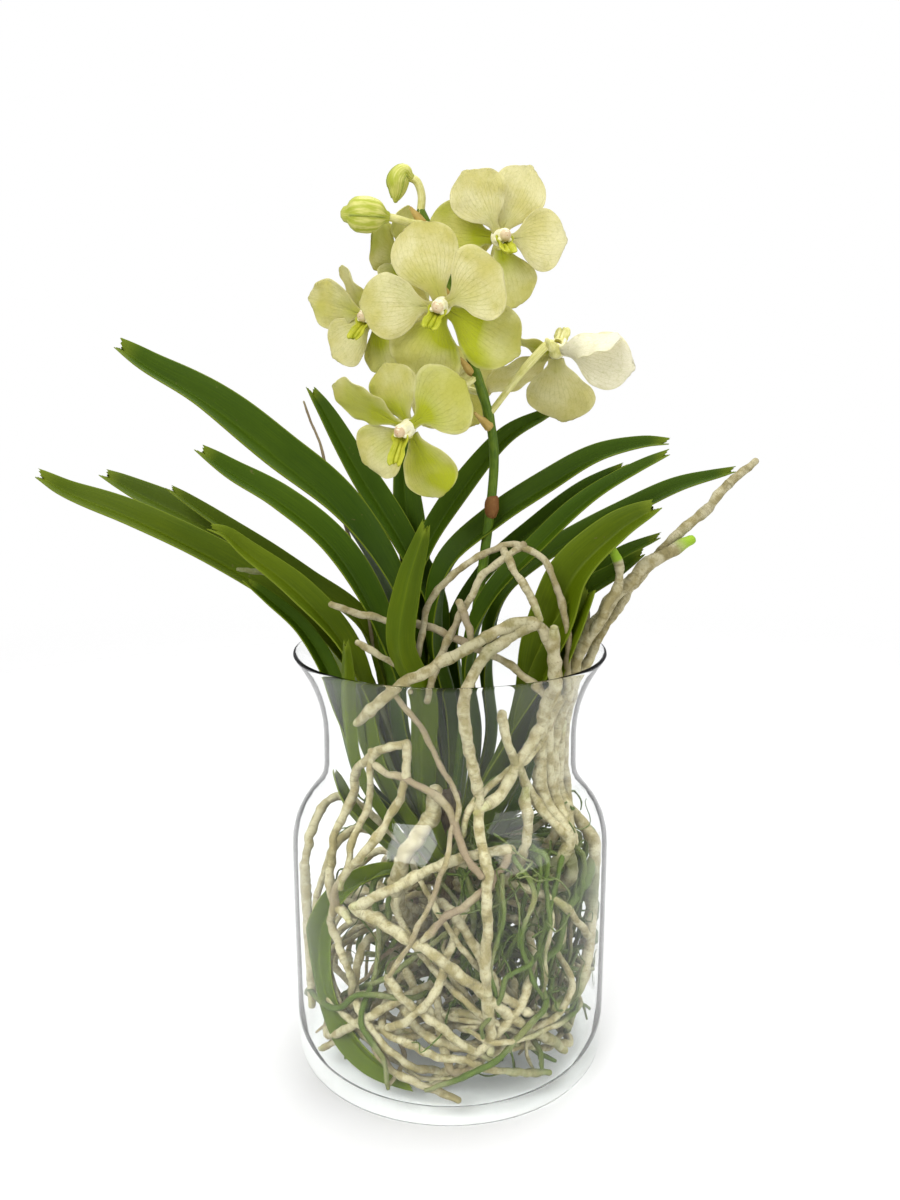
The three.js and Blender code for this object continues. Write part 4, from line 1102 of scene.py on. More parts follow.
@dataclass
class RootSystem:
    """The stem, the roots over the rim, the tangle in the vase and the green strings of moss.

    The main routes were started from points that a converting program printed. 31 of their 234 points
    are as it printed them, and 121 lie within 3 mm of a printed one.
    """

    stem_radius: float = 7.0
    stem_route: list[Point] = field(default_factory=lambda: [
        (3, 1, 24), (1, 0, 70), (-1, 0, 115), (0, 1, 158),
    ])
    filler_roots: int = 10
    finer_roots: int = 46
    mossy_roots: int = 52
    core_roots: int = 46
    strings: int = 130
    filler_seed: int = 20260
    finer_seed: int = 41
    mossy_seed: int = 63
    strings_seed: int = 87
    roots: list[Root] = field(default_factory=lambda: [
        Root(3.6, 3.0, RootKind.SILVER, [(2, -1, 100), (38, -30, 118), (61, -38, 153), (58, -50, 228),
             (54, -53, 262), (46, -55, 277), (27, -58, 274), (6, -62, 264), (-16, -64, 251),
             (-33, -65, 240), (-56, -57, 220)]),
        Root(3.3, 2.9, RootKind.SILVER, [(46, -55, 277), (31, -57, 270), (18, -62, 260), (8, -68, 240),
             (8, -71, 221), (13, -72, 202), (18, -80, 172), (20, -85, 125), (18, -85, 97), (21, -84, 67),
             (23, -82, 40)]),
        Root(3.9, 3.6, RootKind.SILVER, [(2, -1, 104), (46, -36, 118), (66, -48, 148), (60, -54, 185),
             (57, -56, 235), (57, -58, 258), (56, -58, 276)]),
        Root(2.0, 1.9, RootKind.TAN, [(60, -50, 215), (65, -42, 259), (61, -40, 288), (52, -38, 307),
             (38, -36, 317), (22, -36, 314), (-2, -37, 297), (-13, -40, 280), (-17, -44, 259),
             (-22, -48, 238)]),
        Root(2.1, 2.2, RootKind.TAN, [(40, -37, 317), (18, -42, 301), (3, -44, 275), (-5, -47, 258),
             (-13, -54, 234)]),
        Root(2.2, 2.3, RootKind.SILVER, [(29, -36, 315), (32, -44, 308), (41, -50, 294), (48, -54, 279)]),
        Root(1.9, 2.3, RootKind.TAN, [(-65, -42, 285), (-45, -38, 277), (-25, -35, 274), (-5, -40, 269),
             (14, -47, 262), (30, -48, 254), (45, -50, 243), (57, -54, 231)]),
        Root(1.8, 2.1, RootKind.SILVER, [(-50, -52, 266), (-38, -49, 258), (-27, -46, 251),
             (-16, -50, 240)]),
        Root(2.1, 2.2, RootKind.TAN, [(5, -46, 287), (9, -49, 278), (13, -56, 267)]),
        Root(4.6, 3.7, RootKind.GREEN_TIP, [(2, 1, 96), (45, -22, 105), (68, -40, 125), (66, -42, 154),
             (62, -38, 195), (65, -35, 229), (71, -33, 252), (80, -29, 270), (93, -24, 287),
             (113, -18, 304), (137, -10, 316)]),
        Root(3.2, 2.7, RootKind.PALE, [(2, 2, 90), (50, -5, 100), (70, -18, 140), (66, -20, 188),
             (69, -22, 225), (78, -20, 247), (92, -16, 271), (109, -12, 296), (123, -8, 312),
             (138, -4, 324), (155, 0, 342), (177, 5, 360)]),
        Root(2.8, 2.7, RootKind.GREEN_TIP, [(77, -32, 263), (86, -34, 279), (92, -33, 292), (93, -32, 304),
             (90, -31, 316)]),
        Root(1.9, 1.7, RootKind.TAN, [(77, -30, 266), (77, -22, 281), (73, -16, 296), (70, -14, 315)]),
        Root(3.3, 3.0, RootKind.SILVER, [(2, 1, 100), (48, -20, 118), (70, -34, 140), (67, -33, 165),
             (66, -31, 214)]),
        Root(2.6, 2.6, RootKind.SILVER, [(28, -58, 228), (30, -60, 215), (36, -62, 203), (46, -62, 189),
             (63, -54, 160), (66, -46, 148)]),
        Root(3.4, 3.2, RootKind.SILVER, [(63, -48, 233), (56, -54, 218), (42, -64, 201), (30, -70, 184),
             (17, -79, 175)]),
        Root(2.4, 2.0, RootKind.SILVER, [(59, -52, 212), (45, -54, 203), (24, -60, 189), (12, -67, 180),
             (7, -70, 163)]),
        Root(1.6, 1.5, RootKind.DRY, [(-30, -64, 241), (-15, -68, 222), (-5, -69, 202), (5, -77, 182),
             (1, -85, 165), (-4, -86, 150), (-11, -86, 130), (-24, -84, 103), (-34, -79, 84)]),
        Root(2.5, 2.6, RootKind.SILVER, [(-23, -64, 213), (-40, -56, 205), (-52, -47, 192), (-60, -48, 174),
             (-66, -54, 148), (-66, -56, 118), (-55, -66, 112)]),
        Root(2.5, 2.3, RootKind.TAN, [(-23, -64, 213), (-24, -66, 200), (-30, -71, 182), (-48, -71, 153),
             (-62, -60, 129), (-66, -57, 101), (-58, -64, 84), (-55, -64, 61)]),
        Root(2.0, 2.0, RootKind.SILVER, [(-43, -55, 206), (-46, -58, 188), (-53, -63, 168), (-56, -65, 145),
             (-60, -62, 128)]),
        Root(2.1, 2.3, RootKind.DRY, [(-42, -58, 198), (-26, -67, 193), (-11, -76, 187), (-1, -80, 176),
             (8, -84, 158), (18, -85, 145)]),
        Root(4.6, 4.0, RootKind.SILVER, [(-8, -52, 182), (-13, -58, 165), (-23, -60, 150), (-30, -52, 124),
             (-24, -28, 92), (-1, -1, 72)]),
        Root(3.1, 2.9, RootKind.SILVER, [(1, -1, 108), (28, -40, 132), (33, -60, 149), (16, -66, 151),
             (-6, -72, 146), (-30, -76, 134), (-53, -66, 119)]),
        Root(3.0, 3.0, RootKind.SILVER, [(1, -1, 98), (34, -44, 126), (43, -55, 160), (42, -56, 186)]),
        Root(3.3, 2.9, RootKind.SILVER, [(-53, -66, 119), (-38, -76, 115), (-7, -86, 100), (7, -86, 88),
             (29, -80, 65), (50, -67, 42), (67, -47, 20)]),
        Root(2.5, 2.4, RootKind.SILVER, [(-34, -79, 84), (-21, -82, 69), (-3, -84, 55), (24, -80, 34)]),
        Root(2.3, 2.2, RootKind.SILVER, [(-1, -1, 62), (-30, -42, 60), (-37, -72, 48), (-20, -80, 43),
             (2, -82, 36), (32, -77, 26), (57, -60, 13)]),
        Root(2.5, 2.2, RootKind.TAN, [(-1, -1, 52), (-38, -38, 50), (-46, -63, 43), (-38, -72, 31),
             (-27, -77, 23), (4, -82, 12)]),
        Root(2.3, 2.1, RootKind.SILVER, [(-55, -64, 61), (-61, -52, 44), (-67, -48, 26), (-79, -37, 13)]),
        Root(3.0, 2.8, RootKind.SILVER, [(-2, 1, 108), (-40, 6, 136), (-70, 4, 158), (-84, -12, 136),
             (-86, -28, 108), (-85, -33, 75), (-82, -36, 42)]),
        Root(4.0, 3.2, RootKind.SILVER, [(1, 1, 105), (40, 0, 132), (70, -8, 152), (84, -20, 138),
             (86, -30, 105), (83, -37, 76), (72, -50, 57), (58, -62, 56)]),
        Root(2.4, 2.1, RootKind.MOSSY, [(85, -22, 132), (78, -38, 120), (66, -55, 110), (60, -60, 92),
             (52, -68, 88)]),
        Root(2.3, 2.2, RootKind.DRY, [(33, -60, 149), (22, -76, 137), (0, -85, 125), (-16, -85, 110)]),
        Root(1.5, 1.3, RootKind.MOSSY, [(66, -46, 150), (61, -54, 134), (53, -66, 108), (50, -69, 92),
             (55, -64, 58)]),
        Root(1.5, 1.3, RootKind.MOSSY, [(33, -60, 149), (46, -70, 129), (39, -76, 108), (45, -72, 80),
             (54, -65, 60)]),
        Root(1.5, 1.3, RootKind.MOSSY, [(28, -74, 142), (28, -80, 116), (22, -83, 92), (27, -80, 62)]),
    ])

    def filler_routes(self) -> list[list[Point]]:
        """Routes out from the stem, round the glass and down.

        Returns:
            The routes.
        """
        state = self.filler_seed

        def draw() -> float:
            """Next number of the sequence.

            Returns:
                A number from 0 to 1.
            """
            nonlocal state
            state = (state * 16807) % 2147483647
            return state / 2147483647

        routes = []
        for i in range(self.filler_roots):
            start = i * math.pi * (3 - math.sqrt(5)) + draw() * 0.7
            side = -1 if draw() < 0.5 else 1
            turn = side * (0.35 + 0.5 * draw())
            height = 42 + 62 * draw()
            rise = 12 + 26 * draw()
            low = 11 + 26 * draw()
            stops = [(4, 0, height), (34, 0.15, height + rise * 0.7), (66, 0.6, height + rise),
                     (84, 1.1, height * 0.72 + 12), (82, 1.8, (height + low) * 0.42), (64, 2.5, low)]
            routes.append([(r * math.cos(start + a * turn), r * math.sin(start + a * turn), z)
                           for r, a, z in stops])
        return routes

    def build_main(self, vase: Vase) -> bpy.types.Object:
        """Builds the stem and the main roots in place of their solid.

        Args:
            vase: glass that they stay clear of.

        Returns:
            The piece.
        """
        skin = Skin("stem_and_main_roots")
        places = course(self.stem_route, 1.6)
        run = run_length(places)
        radius = self.stem_radius * (1 + 0.07 * np.sin(run * 0.9) + 0.05 * np.sin(run * 0.23))
        skin.tube(places, radius, 24, Finish.BARK, rough=0.06, seed=5, spot=0.3)
        for seed, root in enumerate(self.roots):
            root.grow(skin, vase, 100 + 11 * seed, sides=14 if root.start_radius > 3 else 11)
        for seed, route in enumerate(self.filler_routes()):
            Root(2.8, 2.2, RootKind.SILVER, route).grow(skin, vase, 700 + 11 * seed, sides=10)
        return skin.make("root_silver", "stem_and_roots")

    def build_finer(self, vase: Vase) -> bpy.types.Object:
        """Builds the many thinner roots along the glass, and two long ones at the left leaves.

        Six of the 15 points of those two are as a converting program printed them.

        Args:
            vase: glass that they stay clear of.

        Returns:
            The piece.
        """
        skin = Skin("finer_roots")
        random = np.random.default_rng(self.finer_seed)
        for seed in range(self.finer_roots):
            start = random.uniform(0, 2 * math.pi)
            turn = random.choice([-1, 1]) * random.uniform(0.5, 1.5)
            height = random.uniform(22, 112)
            rise = random.uniform(-8, 34)
            low = random.uniform(10, 50)
            reach = random.uniform(60, 91)
            stops = [(4, 0, height), (30, 0.1, height + rise * 0.8), (reach * 0.8, 0.35, height + rise),
                     (reach, 0.7, 0.75 * height + 0.25 * low + rise * 0.3),
                     (reach, 1.05, 0.45 * height + 0.55 * low), (reach * 0.97, 1.4, low + 4),
                     (reach * 0.86, 1.7, low)]
            route = np.array([(r * math.cos(start + a * turn), r * math.sin(start + a * turn), z)
                              for r, a, z in stops])
            route[1:] += random.normal(0, 5.0, (len(route) - 1, 3))
            spot = route[3]
            mossy = spot[0] > 10 and spot[1] < 25
            pick = random.uniform()
            kind = RootKind.SILVER
            if pick > 0.62:
                kind = RootKind.MOSSY if mossy or pick > 0.85 else RootKind.TAN
            radius = random.uniform(1.3, 2.7)
            Root(radius * 1.1, radius * 0.9, kind, route).grow(skin, vase, 900 + 13 * seed, 2.0, 8)
        for seed, root in enumerate([
            Root(1.6, 0.8, RootKind.DRY, [(2, 3, 100), (-24, 16, 160), (-42, 19, 220), (-53, 14, 290),
                                          (-66, 18, 336), (-74, 20, 359), (-77, 22, 371), (-82, 24, 382),
                                          (-86, 24, 393)]),
            Root(1.8, 1.7, RootKind.MOSSY, [(1, 1, 104), (-28, -4, 185), (-55, -8, 250), (-80, -12, 284),
                                            (-101, -18, 297), (-120, -20, 301)]),
        ]):
            root.grow(skin, vase, 1500 + 13 * seed, 2.0, 8)
        return skin.make("root_silver")

    def build_mossy(self, vase: Vase) -> bpy.types.Object:
        """Builds the mossy roots that hang down the right side, and the dark ones of the core.

        Args:
            vase: glass that they stay clear of.

        Returns:
            The piece.
        """
        skin = Skin("mossy_roots")
        random = np.random.default_rng(self.mossy_seed)
        for seed in range(self.mossy_roots + self.core_roots):
            hanging = seed < self.mossy_roots
            if hanging:
                angle = random.uniform(-1.35, 0.55)
                reach = random.uniform(28, 88)
                lean = random.normal(0, 9, 2) - (10, 0)
                top, low = random.uniform(88, 150), random.uniform(14, 62)
            else:
                angle = random.uniform(0, 2 * math.pi)
                reach = random.uniform(8, 62)
                lean = random.normal(0, 34, 2)
                top, low = random.uniform(62, 128), random.uniform(10, 34)
            head = np.array([reach * math.cos(angle), reach * math.sin(angle)])
            stops = []
            for share in (0.0, 0.2, 0.42, 0.62, 0.82, 1.0):
                place = head + lean * share + random.normal(0, 3.6, 2)
                stops.append((*place, top + (low - top) * share))
            crown = (0.25 * head[0], 0.25 * head[1], min(top + 4, 132))
            route = np.array([crown, *stops])
            kind = random.choice([RootKind.OLIVE, RootKind.MOSSY, RootKind.TAN, RootKind.DRY],
                                 p=[0.52, 0.32, 0.10, 0.06])
            radius = random.uniform(1.0, 2.0)
            Root(radius * 1.15, radius * 0.85, kind, route).grow(skin, vase, 1700 + 13 * seed, 2.0, 8)
        return skin.make("root_silver")

    def build_strings(self, vase: Vase) -> bpy.types.Object:
        """Builds the thin green strings that hang among the roots, most of them on the right.

        Args:
            vase: glass that they stay clear of.

        Returns:
            The piece.
        """
        skin = Skin("moss_strings")
        random = np.random.default_rng(self.strings_seed)
        for seed in range(self.strings):
            right = random.uniform() < 0.75
            angle = random.normal(-0.75, 0.55) if right else random.uniform(0, 2 * math.pi)
            reach = random.uniform(30, 88)
            place = np.array([reach * math.cos(angle), reach * math.sin(angle), random.uniform(45, 165)])
            heading = random.normal(0, 1, 3) * (1, 1, 0.5) - (0, 0, 0.7)
            route = [place]
            for _ in range(random.integers(5, 11)):
                heading = unit(heading + random.normal(0, 0.55, 3) - (0, 0, 0.16))
                place = place + heading * random.uniform(5, 10)
                route.append(place)
            places = vase.keep_inside(course(np.array(route), 2.2), 0.8)
            radius = random.uniform(0.35, 0.95) * (1 - 0.5 * np.linspace(0, 1, len(places)))
            skin.tube(places, radius, 5, Finish.ROOT, rough=0.25, seed=seed,
                      moss=random.uniform(0.7, 1.0), brown=random.uniform(0, 0.25))
        return skin.make("root_silver")


# ------------------------------------------------------------------ blooms
@dataclass(frozen=True)
class BloomFrame:
    """Place and axes of a bloom: out of its face, along its top sepal, and to the right of that."""

    centre: np.ndarray
    out: np.ndarray
    top: np.ndarray
    right: np.ndarray
    size: float

    def at(self, out: float, top: float, right: float = 0.0) -> np.ndarray:
        """Point in the bloom's own axes, in millimetres."""
        return self.centre + (self.out * out + self.top * top + self.right * right) * self.size


@dataclass
class Tepal:
    """One sepal or petal: angle clockwise from upright, size, lean and twist, in millimetres and degrees."""

    angle: float
    length: float
    width: float
    lean: float = 0.0
    twist: float = 0.0
    # green mark: above 0 partly the tepal's own green and partly painted shade; below 0 painted light, whiter
    green: float = 0.2
    petal: bool = False
    curl: float = 3.0
    start: float = 3.6
    thickness: float = 0.75

    def grow(self, skin: Skin, frame: BloomFrame, roll: float, seed: int) -> None:
        """Adds the blade to a skin.

        Args:
            skin: what it is added to.
            frame: the bloom's place and axes.
            roll: turn of those axes from upright, in degrees.
            seed: pattern of its waves.
        """
        turn = math.radians(self.angle - roll)
        tilt = math.radians(self.lean)
        flat = frame.top * math.cos(turn) + frame.right * math.sin(turn)
        level = frame.right * math.cos(turn) - frame.top * math.sin(turn)
        along = flat * math.cos(tilt) + frame.out * math.sin(tilt)
        lift = frame.out * math.cos(tilt) - flat * math.sin(tilt)
        u = (np.linspace(0.0, 1.0, 38) ** 0.92)[:, None]
        v = bunched(27, 0.86)[None, :]
        sepal = [(0, 0.22), (0.09, 0.25), (0.2, 0.43), (0.36, 0.77), (0.54, 0.97), (0.64, 1.0), (1.0, 1.0)]
        petal = [(0, 0.15), (0.1, 0.16), (0.2, 0.30), (0.33, 0.68), (0.5, 0.95), (0.62, 1.0), (1.0, 1.0)]
        share = profile(petal if self.petal else sepal, u)
        share = share * np.sqrt(1 - (np.clip(u - 0.62, 0, 1) / 0.387) ** 2)
        reach = (u * self.length * (1 - 0.05 * u ** 2 * v ** 2)
                 + 0.5 * np.sin(2 * v + seed) * smooth(u, 0.8, 1.0))
        width = share * self.width / 2 * v
        waves = ripple(np.stack([reach, width, np.full_like(width, seed * 31.0)], axis=-1), 30.0, seed)
        frill = ripple(np.stack([reach, width, np.full_like(width, seed * 17.0)], axis=-1), 15.0, seed + 40)
        edge = np.abs(v)
        forward = 1.3 if self.petal else -1.2
        lifted = forward - self.curl * u ** 2 - 0.55 * np.exp(-(v / 0.07) ** 2) * (1 - 0.6 * u)
        cupped = (0.9 * v ** 2 * share + 0.9 * waves * smooth(u, 0.15, 0.6)
                  + 1.5 * frill * edge ** 2.2 * share)
        spin = (math.radians(self.twist) * smooth(u * 2.0))[..., None]
        across = level * np.cos(spin) + lift * np.sin(spin)
        proud = lift * np.cos(spin) - level * np.sin(spin)
        middle = (frame.centre + along * ((self.start + reach) * frame.size)[..., None]
                  + across * (width * frame.size)[..., None]
                  + lift * ((lifted + 0 * v) * frame.size)[..., None]
                  + proud * (cupped * frame.size)[..., None])
        normal = unit(np.cross(np.gradient(middle, axis=0), np.gradient(middle, axis=1)))
        half = (self.thickness / 2 * (1 + 1.1 * smooth(u, 0.35, 0.0)) * (1 - 0.55 * edge ** 6))[..., None]
        points = np.concatenate([middle + normal * half, (middle - normal * half)[:, ::-1]], axis=1)
        place = (v + 1) / 2
        # the green mark carries painted shade and painted light into the petal finish
        skin.rings(points, Finish.PETAL, blade=True, across=np.concatenate([place, place[:, ::-1]], axis=1),
                   along=u, green=self.green)


@dataclass
class Bloom:
    """One open bloom: three sepals, two petals, column, spur and lip, in millimetres and degrees."""

    name: str
    centre: Point
    facing: Point
    roll: float
    drop: float
    size: float
    tepals: list[Tepal]
    lip_reach: float = 14.0
    lip_finish: Finish = Finish.LIP

    @property
    def frame(self) -> BloomFrame:
        """The bloom's place and axes.

        Returns:
            The place and the axes.
        """
        out = unit(np.array(self.facing, float))
        level = unit(np.array([0.0, 0.0, 1.0]) - out * out[2])
        right = np.cross(level, out)
        roll = math.radians(self.roll)
        top = level * math.cos(roll) + right * math.sin(roll)
        return BloomFrame(np.array(self.centre, float), out, top, np.cross(top, out), self.size)

    def build_petals(self, seed: int) -> bpy.types.Object:
        """Builds sepals, petals, column and spur in place of their solid.

        Args:
            seed: pattern of the waves.

        Returns:
            The piece.
        """
        frame = self.frame
        skin = Skin(self.name + "_sepals_and_petals")
        for number, tepal in enumerate(self.tepals):
            tepal.grow(skin, frame, self.roll, seed * 10 + number)
        size = frame.size
        core = np.array([frame.at(x, 0.0) for x in (-3.4, -1.6, 0.4, 1.8, 2.6)])
        skin.tube(core, np.array([2.2, 3.9, 4.6, 4.2, 3.4]) * size, 18, Finish.STALK, rough=0.02, seed=seed)
        column = np.array([frame.at(x, y) for x, y in
                           ((1, 0.2), (2.6, 0.5), (4.4, 0.7), (6.2, 0.7), (8, 0.4), (9.6, 0.1), (11, -0.2))])
        radius = np.array([4.9, 4.1, 3.5, 3.3, 3.5, 3.6, 3.0]) * size
        skin.tube(column, radius, 22, Finish.COLUMN, seed=seed, spot=np.array([0.2, 0.1, 0, 0, 0, 0.15, 0.5]))
        cap = np.array([frame.at(9.8, 1.0), frame.at(11.0, 0.9), frame.at(12.0, 0.3), frame.at(12.5, -0.6)])
        skin.tube(cap, np.array([1.8, 2.1, 1.8, 1.0]) * size, 16, Finish.COLUMN, seed=seed + 1,
                  spot=np.array([0.0, 0.1, 0.35, 0.7]))
        for side in (-1, 1):
            wing = np.array([frame.at(3.0, -1.2, 3.0 * side), frame.at(6.5, -2.0, 3.5 * side),
                             frame.at(9.6, -2.2, 2.6 * side)])
            skin.tube(course(wing, 1.0), 1.3 * size, 10, Finish.COLUMN, seed=seed + 2)
        spur = course([frame.at(0, -3), frame.at(-7, -6), frame.at(-11, -13)], 0.8)
        skin.tube(spur, np.linspace(2.6, 1.3, len(spur)) * size, 16, Finish.STALK, rough=0.03, seed=seed + 4)
        return skin.make("petal_cream", self.name + "_petals")

    def build_lip(self, seed: int) -> bpy.types.Object:
        """Builds the boat shaped lip with its side lobes in place of its solid.

        Args:
            seed: pattern of the waves.

        Returns:
            The piece.
        """
        frame = self.frame
        skin = Skin(self.name + "_boat_lip")
        t = np.linspace(0.0, 1.0, 34)
        v = np.linspace(-1.0, 1.0, 21)
        half_width = profile([(0, 2.8), (0.12, 4.2), (0.28, 4.9), (0.42, 3.8), (0.6, 3.9), (0.8, 4.7),
                              (0.93, 4.2), (1, 2.6)], t)[:, None]
        depth = profile([(0, 3.4), (0.1, 5.4), (0.24, 5.0), (0.38, 3.0), (0.6, 2.4), (0.85, 1.8), (1, 1.0)],
                        t)[:, None]
        down = unit(frame.out * -self.drop - frame.top * self.lip_reach)
        ahead = unit(frame.out * self.lip_reach - frame.top * self.drop)
        grid_t, grid_v = t[:, None], v[None, :]
        out = 4.8 + 0.80 * self.lip_reach * grid_t
        top = -3.9 - 0.66 * self.drop * grid_t + 1.3 * np.sin(math.pi * grid_t)
        slip = 2.6 * np.abs(grid_v) ** 1.5 * smooth(grid_t, 0.75, 1.0)
        keels = 0.8 * np.cos(grid_v * 9.4) * smooth(np.abs(grid_v), 0.7, 0.3) * smooth(grid_t, 0.15, 0.4)
        sunk = (0.7 - depth * np.abs(grid_v) ** 1.7 - keels
                + 0.25 * np.sin(grid_t * 22 + seed) * np.abs(grid_v))
        middle = (frame.centre
                  + frame.out * ((out + 0 * grid_v) * frame.size)[..., None]
                  + frame.top * ((top + 0 * grid_v) * frame.size)[..., None]
                  + ahead * (slip * frame.size)[..., None]
                  + frame.right * (half_width * grid_v * frame.size)[..., None]
                  + down * (sunk * frame.size)[..., None])
        normal = unit(np.cross(np.gradient(middle, axis=0), np.gradient(middle, axis=1)))
        half = (0.62 * (1 - 0.5 * np.abs(grid_v) ** 5) * (1.25 - 0.5 * grid_t))[..., None]
        points = np.concatenate([middle + normal * half, (middle - normal * half)[:, ::-1]], axis=1)
        both = np.concatenate([v, v[::-1]])
        throat = smooth(t, 0.16, 0.0)[:, None] * smooth(np.abs(both), 1.0, 0.2)[None, :]
        skin.rings(points, self.lip_finish, blade=True, across=both[None, :] * 0.5 + 0.5,
                   length=grid_t * 0.2, spot=throat)
        return skin.make("lip_yellow", self.name + "_lip")


def tepals(*rows: tuple[float, float, float, float, float, float]) -> list[Tepal]:
    """Top sepal, two petals and two lower sepals.

    Args:
        rows: angle, length, width, lean, twist and greenness of each, in that order; greenness is partly own
            colour, partly painted shade, and below 0 painted light.

    Returns:
        The five of them.
    """
    return [Tepal(*row, petal=number in (1, 2)) for number, row in enumerate(rows)]


# ------------------------------------------------------------------ flower spike and buds
@dataclass
class Bud:
    """Closed bud that swells and thins along a line, in millimetres."""

    name: str
    route: list[Point]
    radii: list[float]

    def build(self, seed: int) -> bpy.types.Object:
        """Builds the bud in place of its solid.

        Args:
            seed: pattern of its skin.

        Returns:
            The bud.
        """
        skin = Skin(self.name + "_closed")
        places = course(self.route, 0.7)
        t = np.linspace(0.0, 1.0, len(places))
        radius = profile(list(zip(np.linspace(0, 1, len(self.radii)), self.radii)), t)
        radius = radius * (1 - 0.2 * smooth(t, 0.93, 1.0))
        skin.tube(places, radius, 48, Finish.BUD, seed=seed, flute=(3, 0.06), spot=0.4 * smooth(t, 0.5, 1.0))
        along, across, other = carried_frames(places, (0.31, 0.95, 0.12))
        for k in range(3):
            angle = 2 * math.pi * (k + 0.5) / 3
            seam = places + (across * math.cos(angle) + other * math.sin(angle)) * (radius * 0.955)[:, None]
            skin.tube(seam[2:-2], 0.45, 8, Finish.BUD, seed=seed + k, spot=0.5)
        return skin.make("bud_green", self.name)


@dataclass
class Spike:
    """Flower spike with its node ring, bracts and stalks, in millimetres.

    Two points of its route and one of its bud stalks are as a converting program printed them. Most of
    its route lies within 3 mm of a printed point.
    """

    radius: float = 3.3
    stalk_radius: float = 2.1
    route: list[Point] = field(default_factory=lambda: [
        (3, 3, 159.2), (8, 5, 205), (13, 4, 250), (20, 2, 306), (24, 0, 340), (25, 0, 366), (21, -2, 389),
        (14, -4, 410), (5, -2, 436), (0, 0, 456), (-7, 0, 478), (-16, 0, 496),
    ])
    stalks: dict[str, list[Point]] = field(default_factory=lambda: {
        "bloom_front": [(9, -4, 424)], "bloom_upper_right": [(1, 0, 452)], "bloom_left": [(4, -2, 440)],
        "bloom_lower": [(15, -4, 407)], "bloom_right": [(22, -2, 386), (44, -3, 414), (56, 0, 425)],
        "bloom_back": [(18, -3, 398)], "bloom_back_left": [(-4, 0, 470)],
    })
    bracts: list[tuple[float, float, float, float]] = field(default_factory=lambda: [
        (12, -4, 414, 4), (22, -2, 384, 5), (-15, 0, 494, 4), (0, 0, 455, 4),
    ])
    bud_stalks: list[list[Point]] = field(default_factory=lambda: [
        [(-16, 0, 495), (-15.5, -1, 504), (-18, -3, 510.5), (-21, -3.8, 512.3)],
        [(-13, 0, 489), (-20, -5, 488.5), (-30, -10, 490.5), (-34, -11, 491)],
    ])

    def build(self, blooms: list[Bloom]) -> bpy.types.Object:
        """Builds the spike in place of its solid.

        Args:
            blooms: the blooms that its stalks carry.

        Returns:
            The spike.
        """
        skin = Skin("green_flower_spike")
        places = course(self.route, 1.3)
        run = run_length(places)
        t = run / run[-1]
        radius = self.radius * (1 - 0.3 * t)
        nodes = [(24, 0, 334), (12.5, 4, 246), *(stalk[0] for stalk in self.stalks.values())]
        spot = np.zeros(len(places))
        for node in nodes:
            gap = np.linalg.norm(places - np.array(node, float), axis=1)
            radius = radius * (1 + 0.16 * np.exp(-(gap / 4.0) ** 2))
            spot = spot + (0.9 if node[2] == 334 else 0.22) * np.exp(-(gap / 3.2) ** 2)
        skin.tube(places, radius, 22, Finish.SPIKE, rough=0.015, seed=31, spot=np.clip(spot, 0, 1))
        ring = course([(23.8, 0, 329.5), (24.0, 0, 334), (24.3, 0, 338.5)], 0.8)
        shape = self.radius + 0.75 - 0.6 * np.abs(np.linspace(-1, 1, len(ring))) ** 2
        skin.tube(ring, shape, 24, Finish.BRACT, rough=0.05, seed=8, spot=0.75)
        for route in self.bud_stalks:
            line = course(route, 0.8)
            skin.tube(line, self.stalk_radius, 16, Finish.STALK, seed=12, flute=(6, 0.06),
                      spot=0.25 * np.linspace(1, 0, len(line)))
        for x, y, z, reach in self.bracts:
            line = course([(x, y, z - 4), (x - reach, y - 2, z), (x - reach * 1.6, y - 3, z + 3)], 0.6)
            skin.tube(line, np.linspace(3.2, 0.8, len(line)), 14, Finish.BRACT, rough=0.08, seed=14, spot=0.2)
        for seed, bloom in enumerate(blooms):
            frame = bloom.frame
            seat = frame.centre - frame.out * 2.0 * bloom.size + frame.top * 0.8
            behind = frame.centre - frame.out * (2.0 * bloom.size + 12) + frame.top * 2
            stops = self.stalks[bloom.name]
            line = course([*stops, seat] if len(stops) > 1 else [*stops, behind, seat], 1.0)
            share = np.linspace(0, 1, len(line))
            thick = self.stalk_radius * (0.86 + 0.3 * smooth(share, 0.2, 0.7))
            skin.tube(line, thick, 18, Finish.STALK, rough=0.02, seed=50 + seed,
                      flute=(6, 0.09), spot=0.3 * smooth(share, 0.3, 0.0))
        return skin.make("spike_green", "flower_spike")


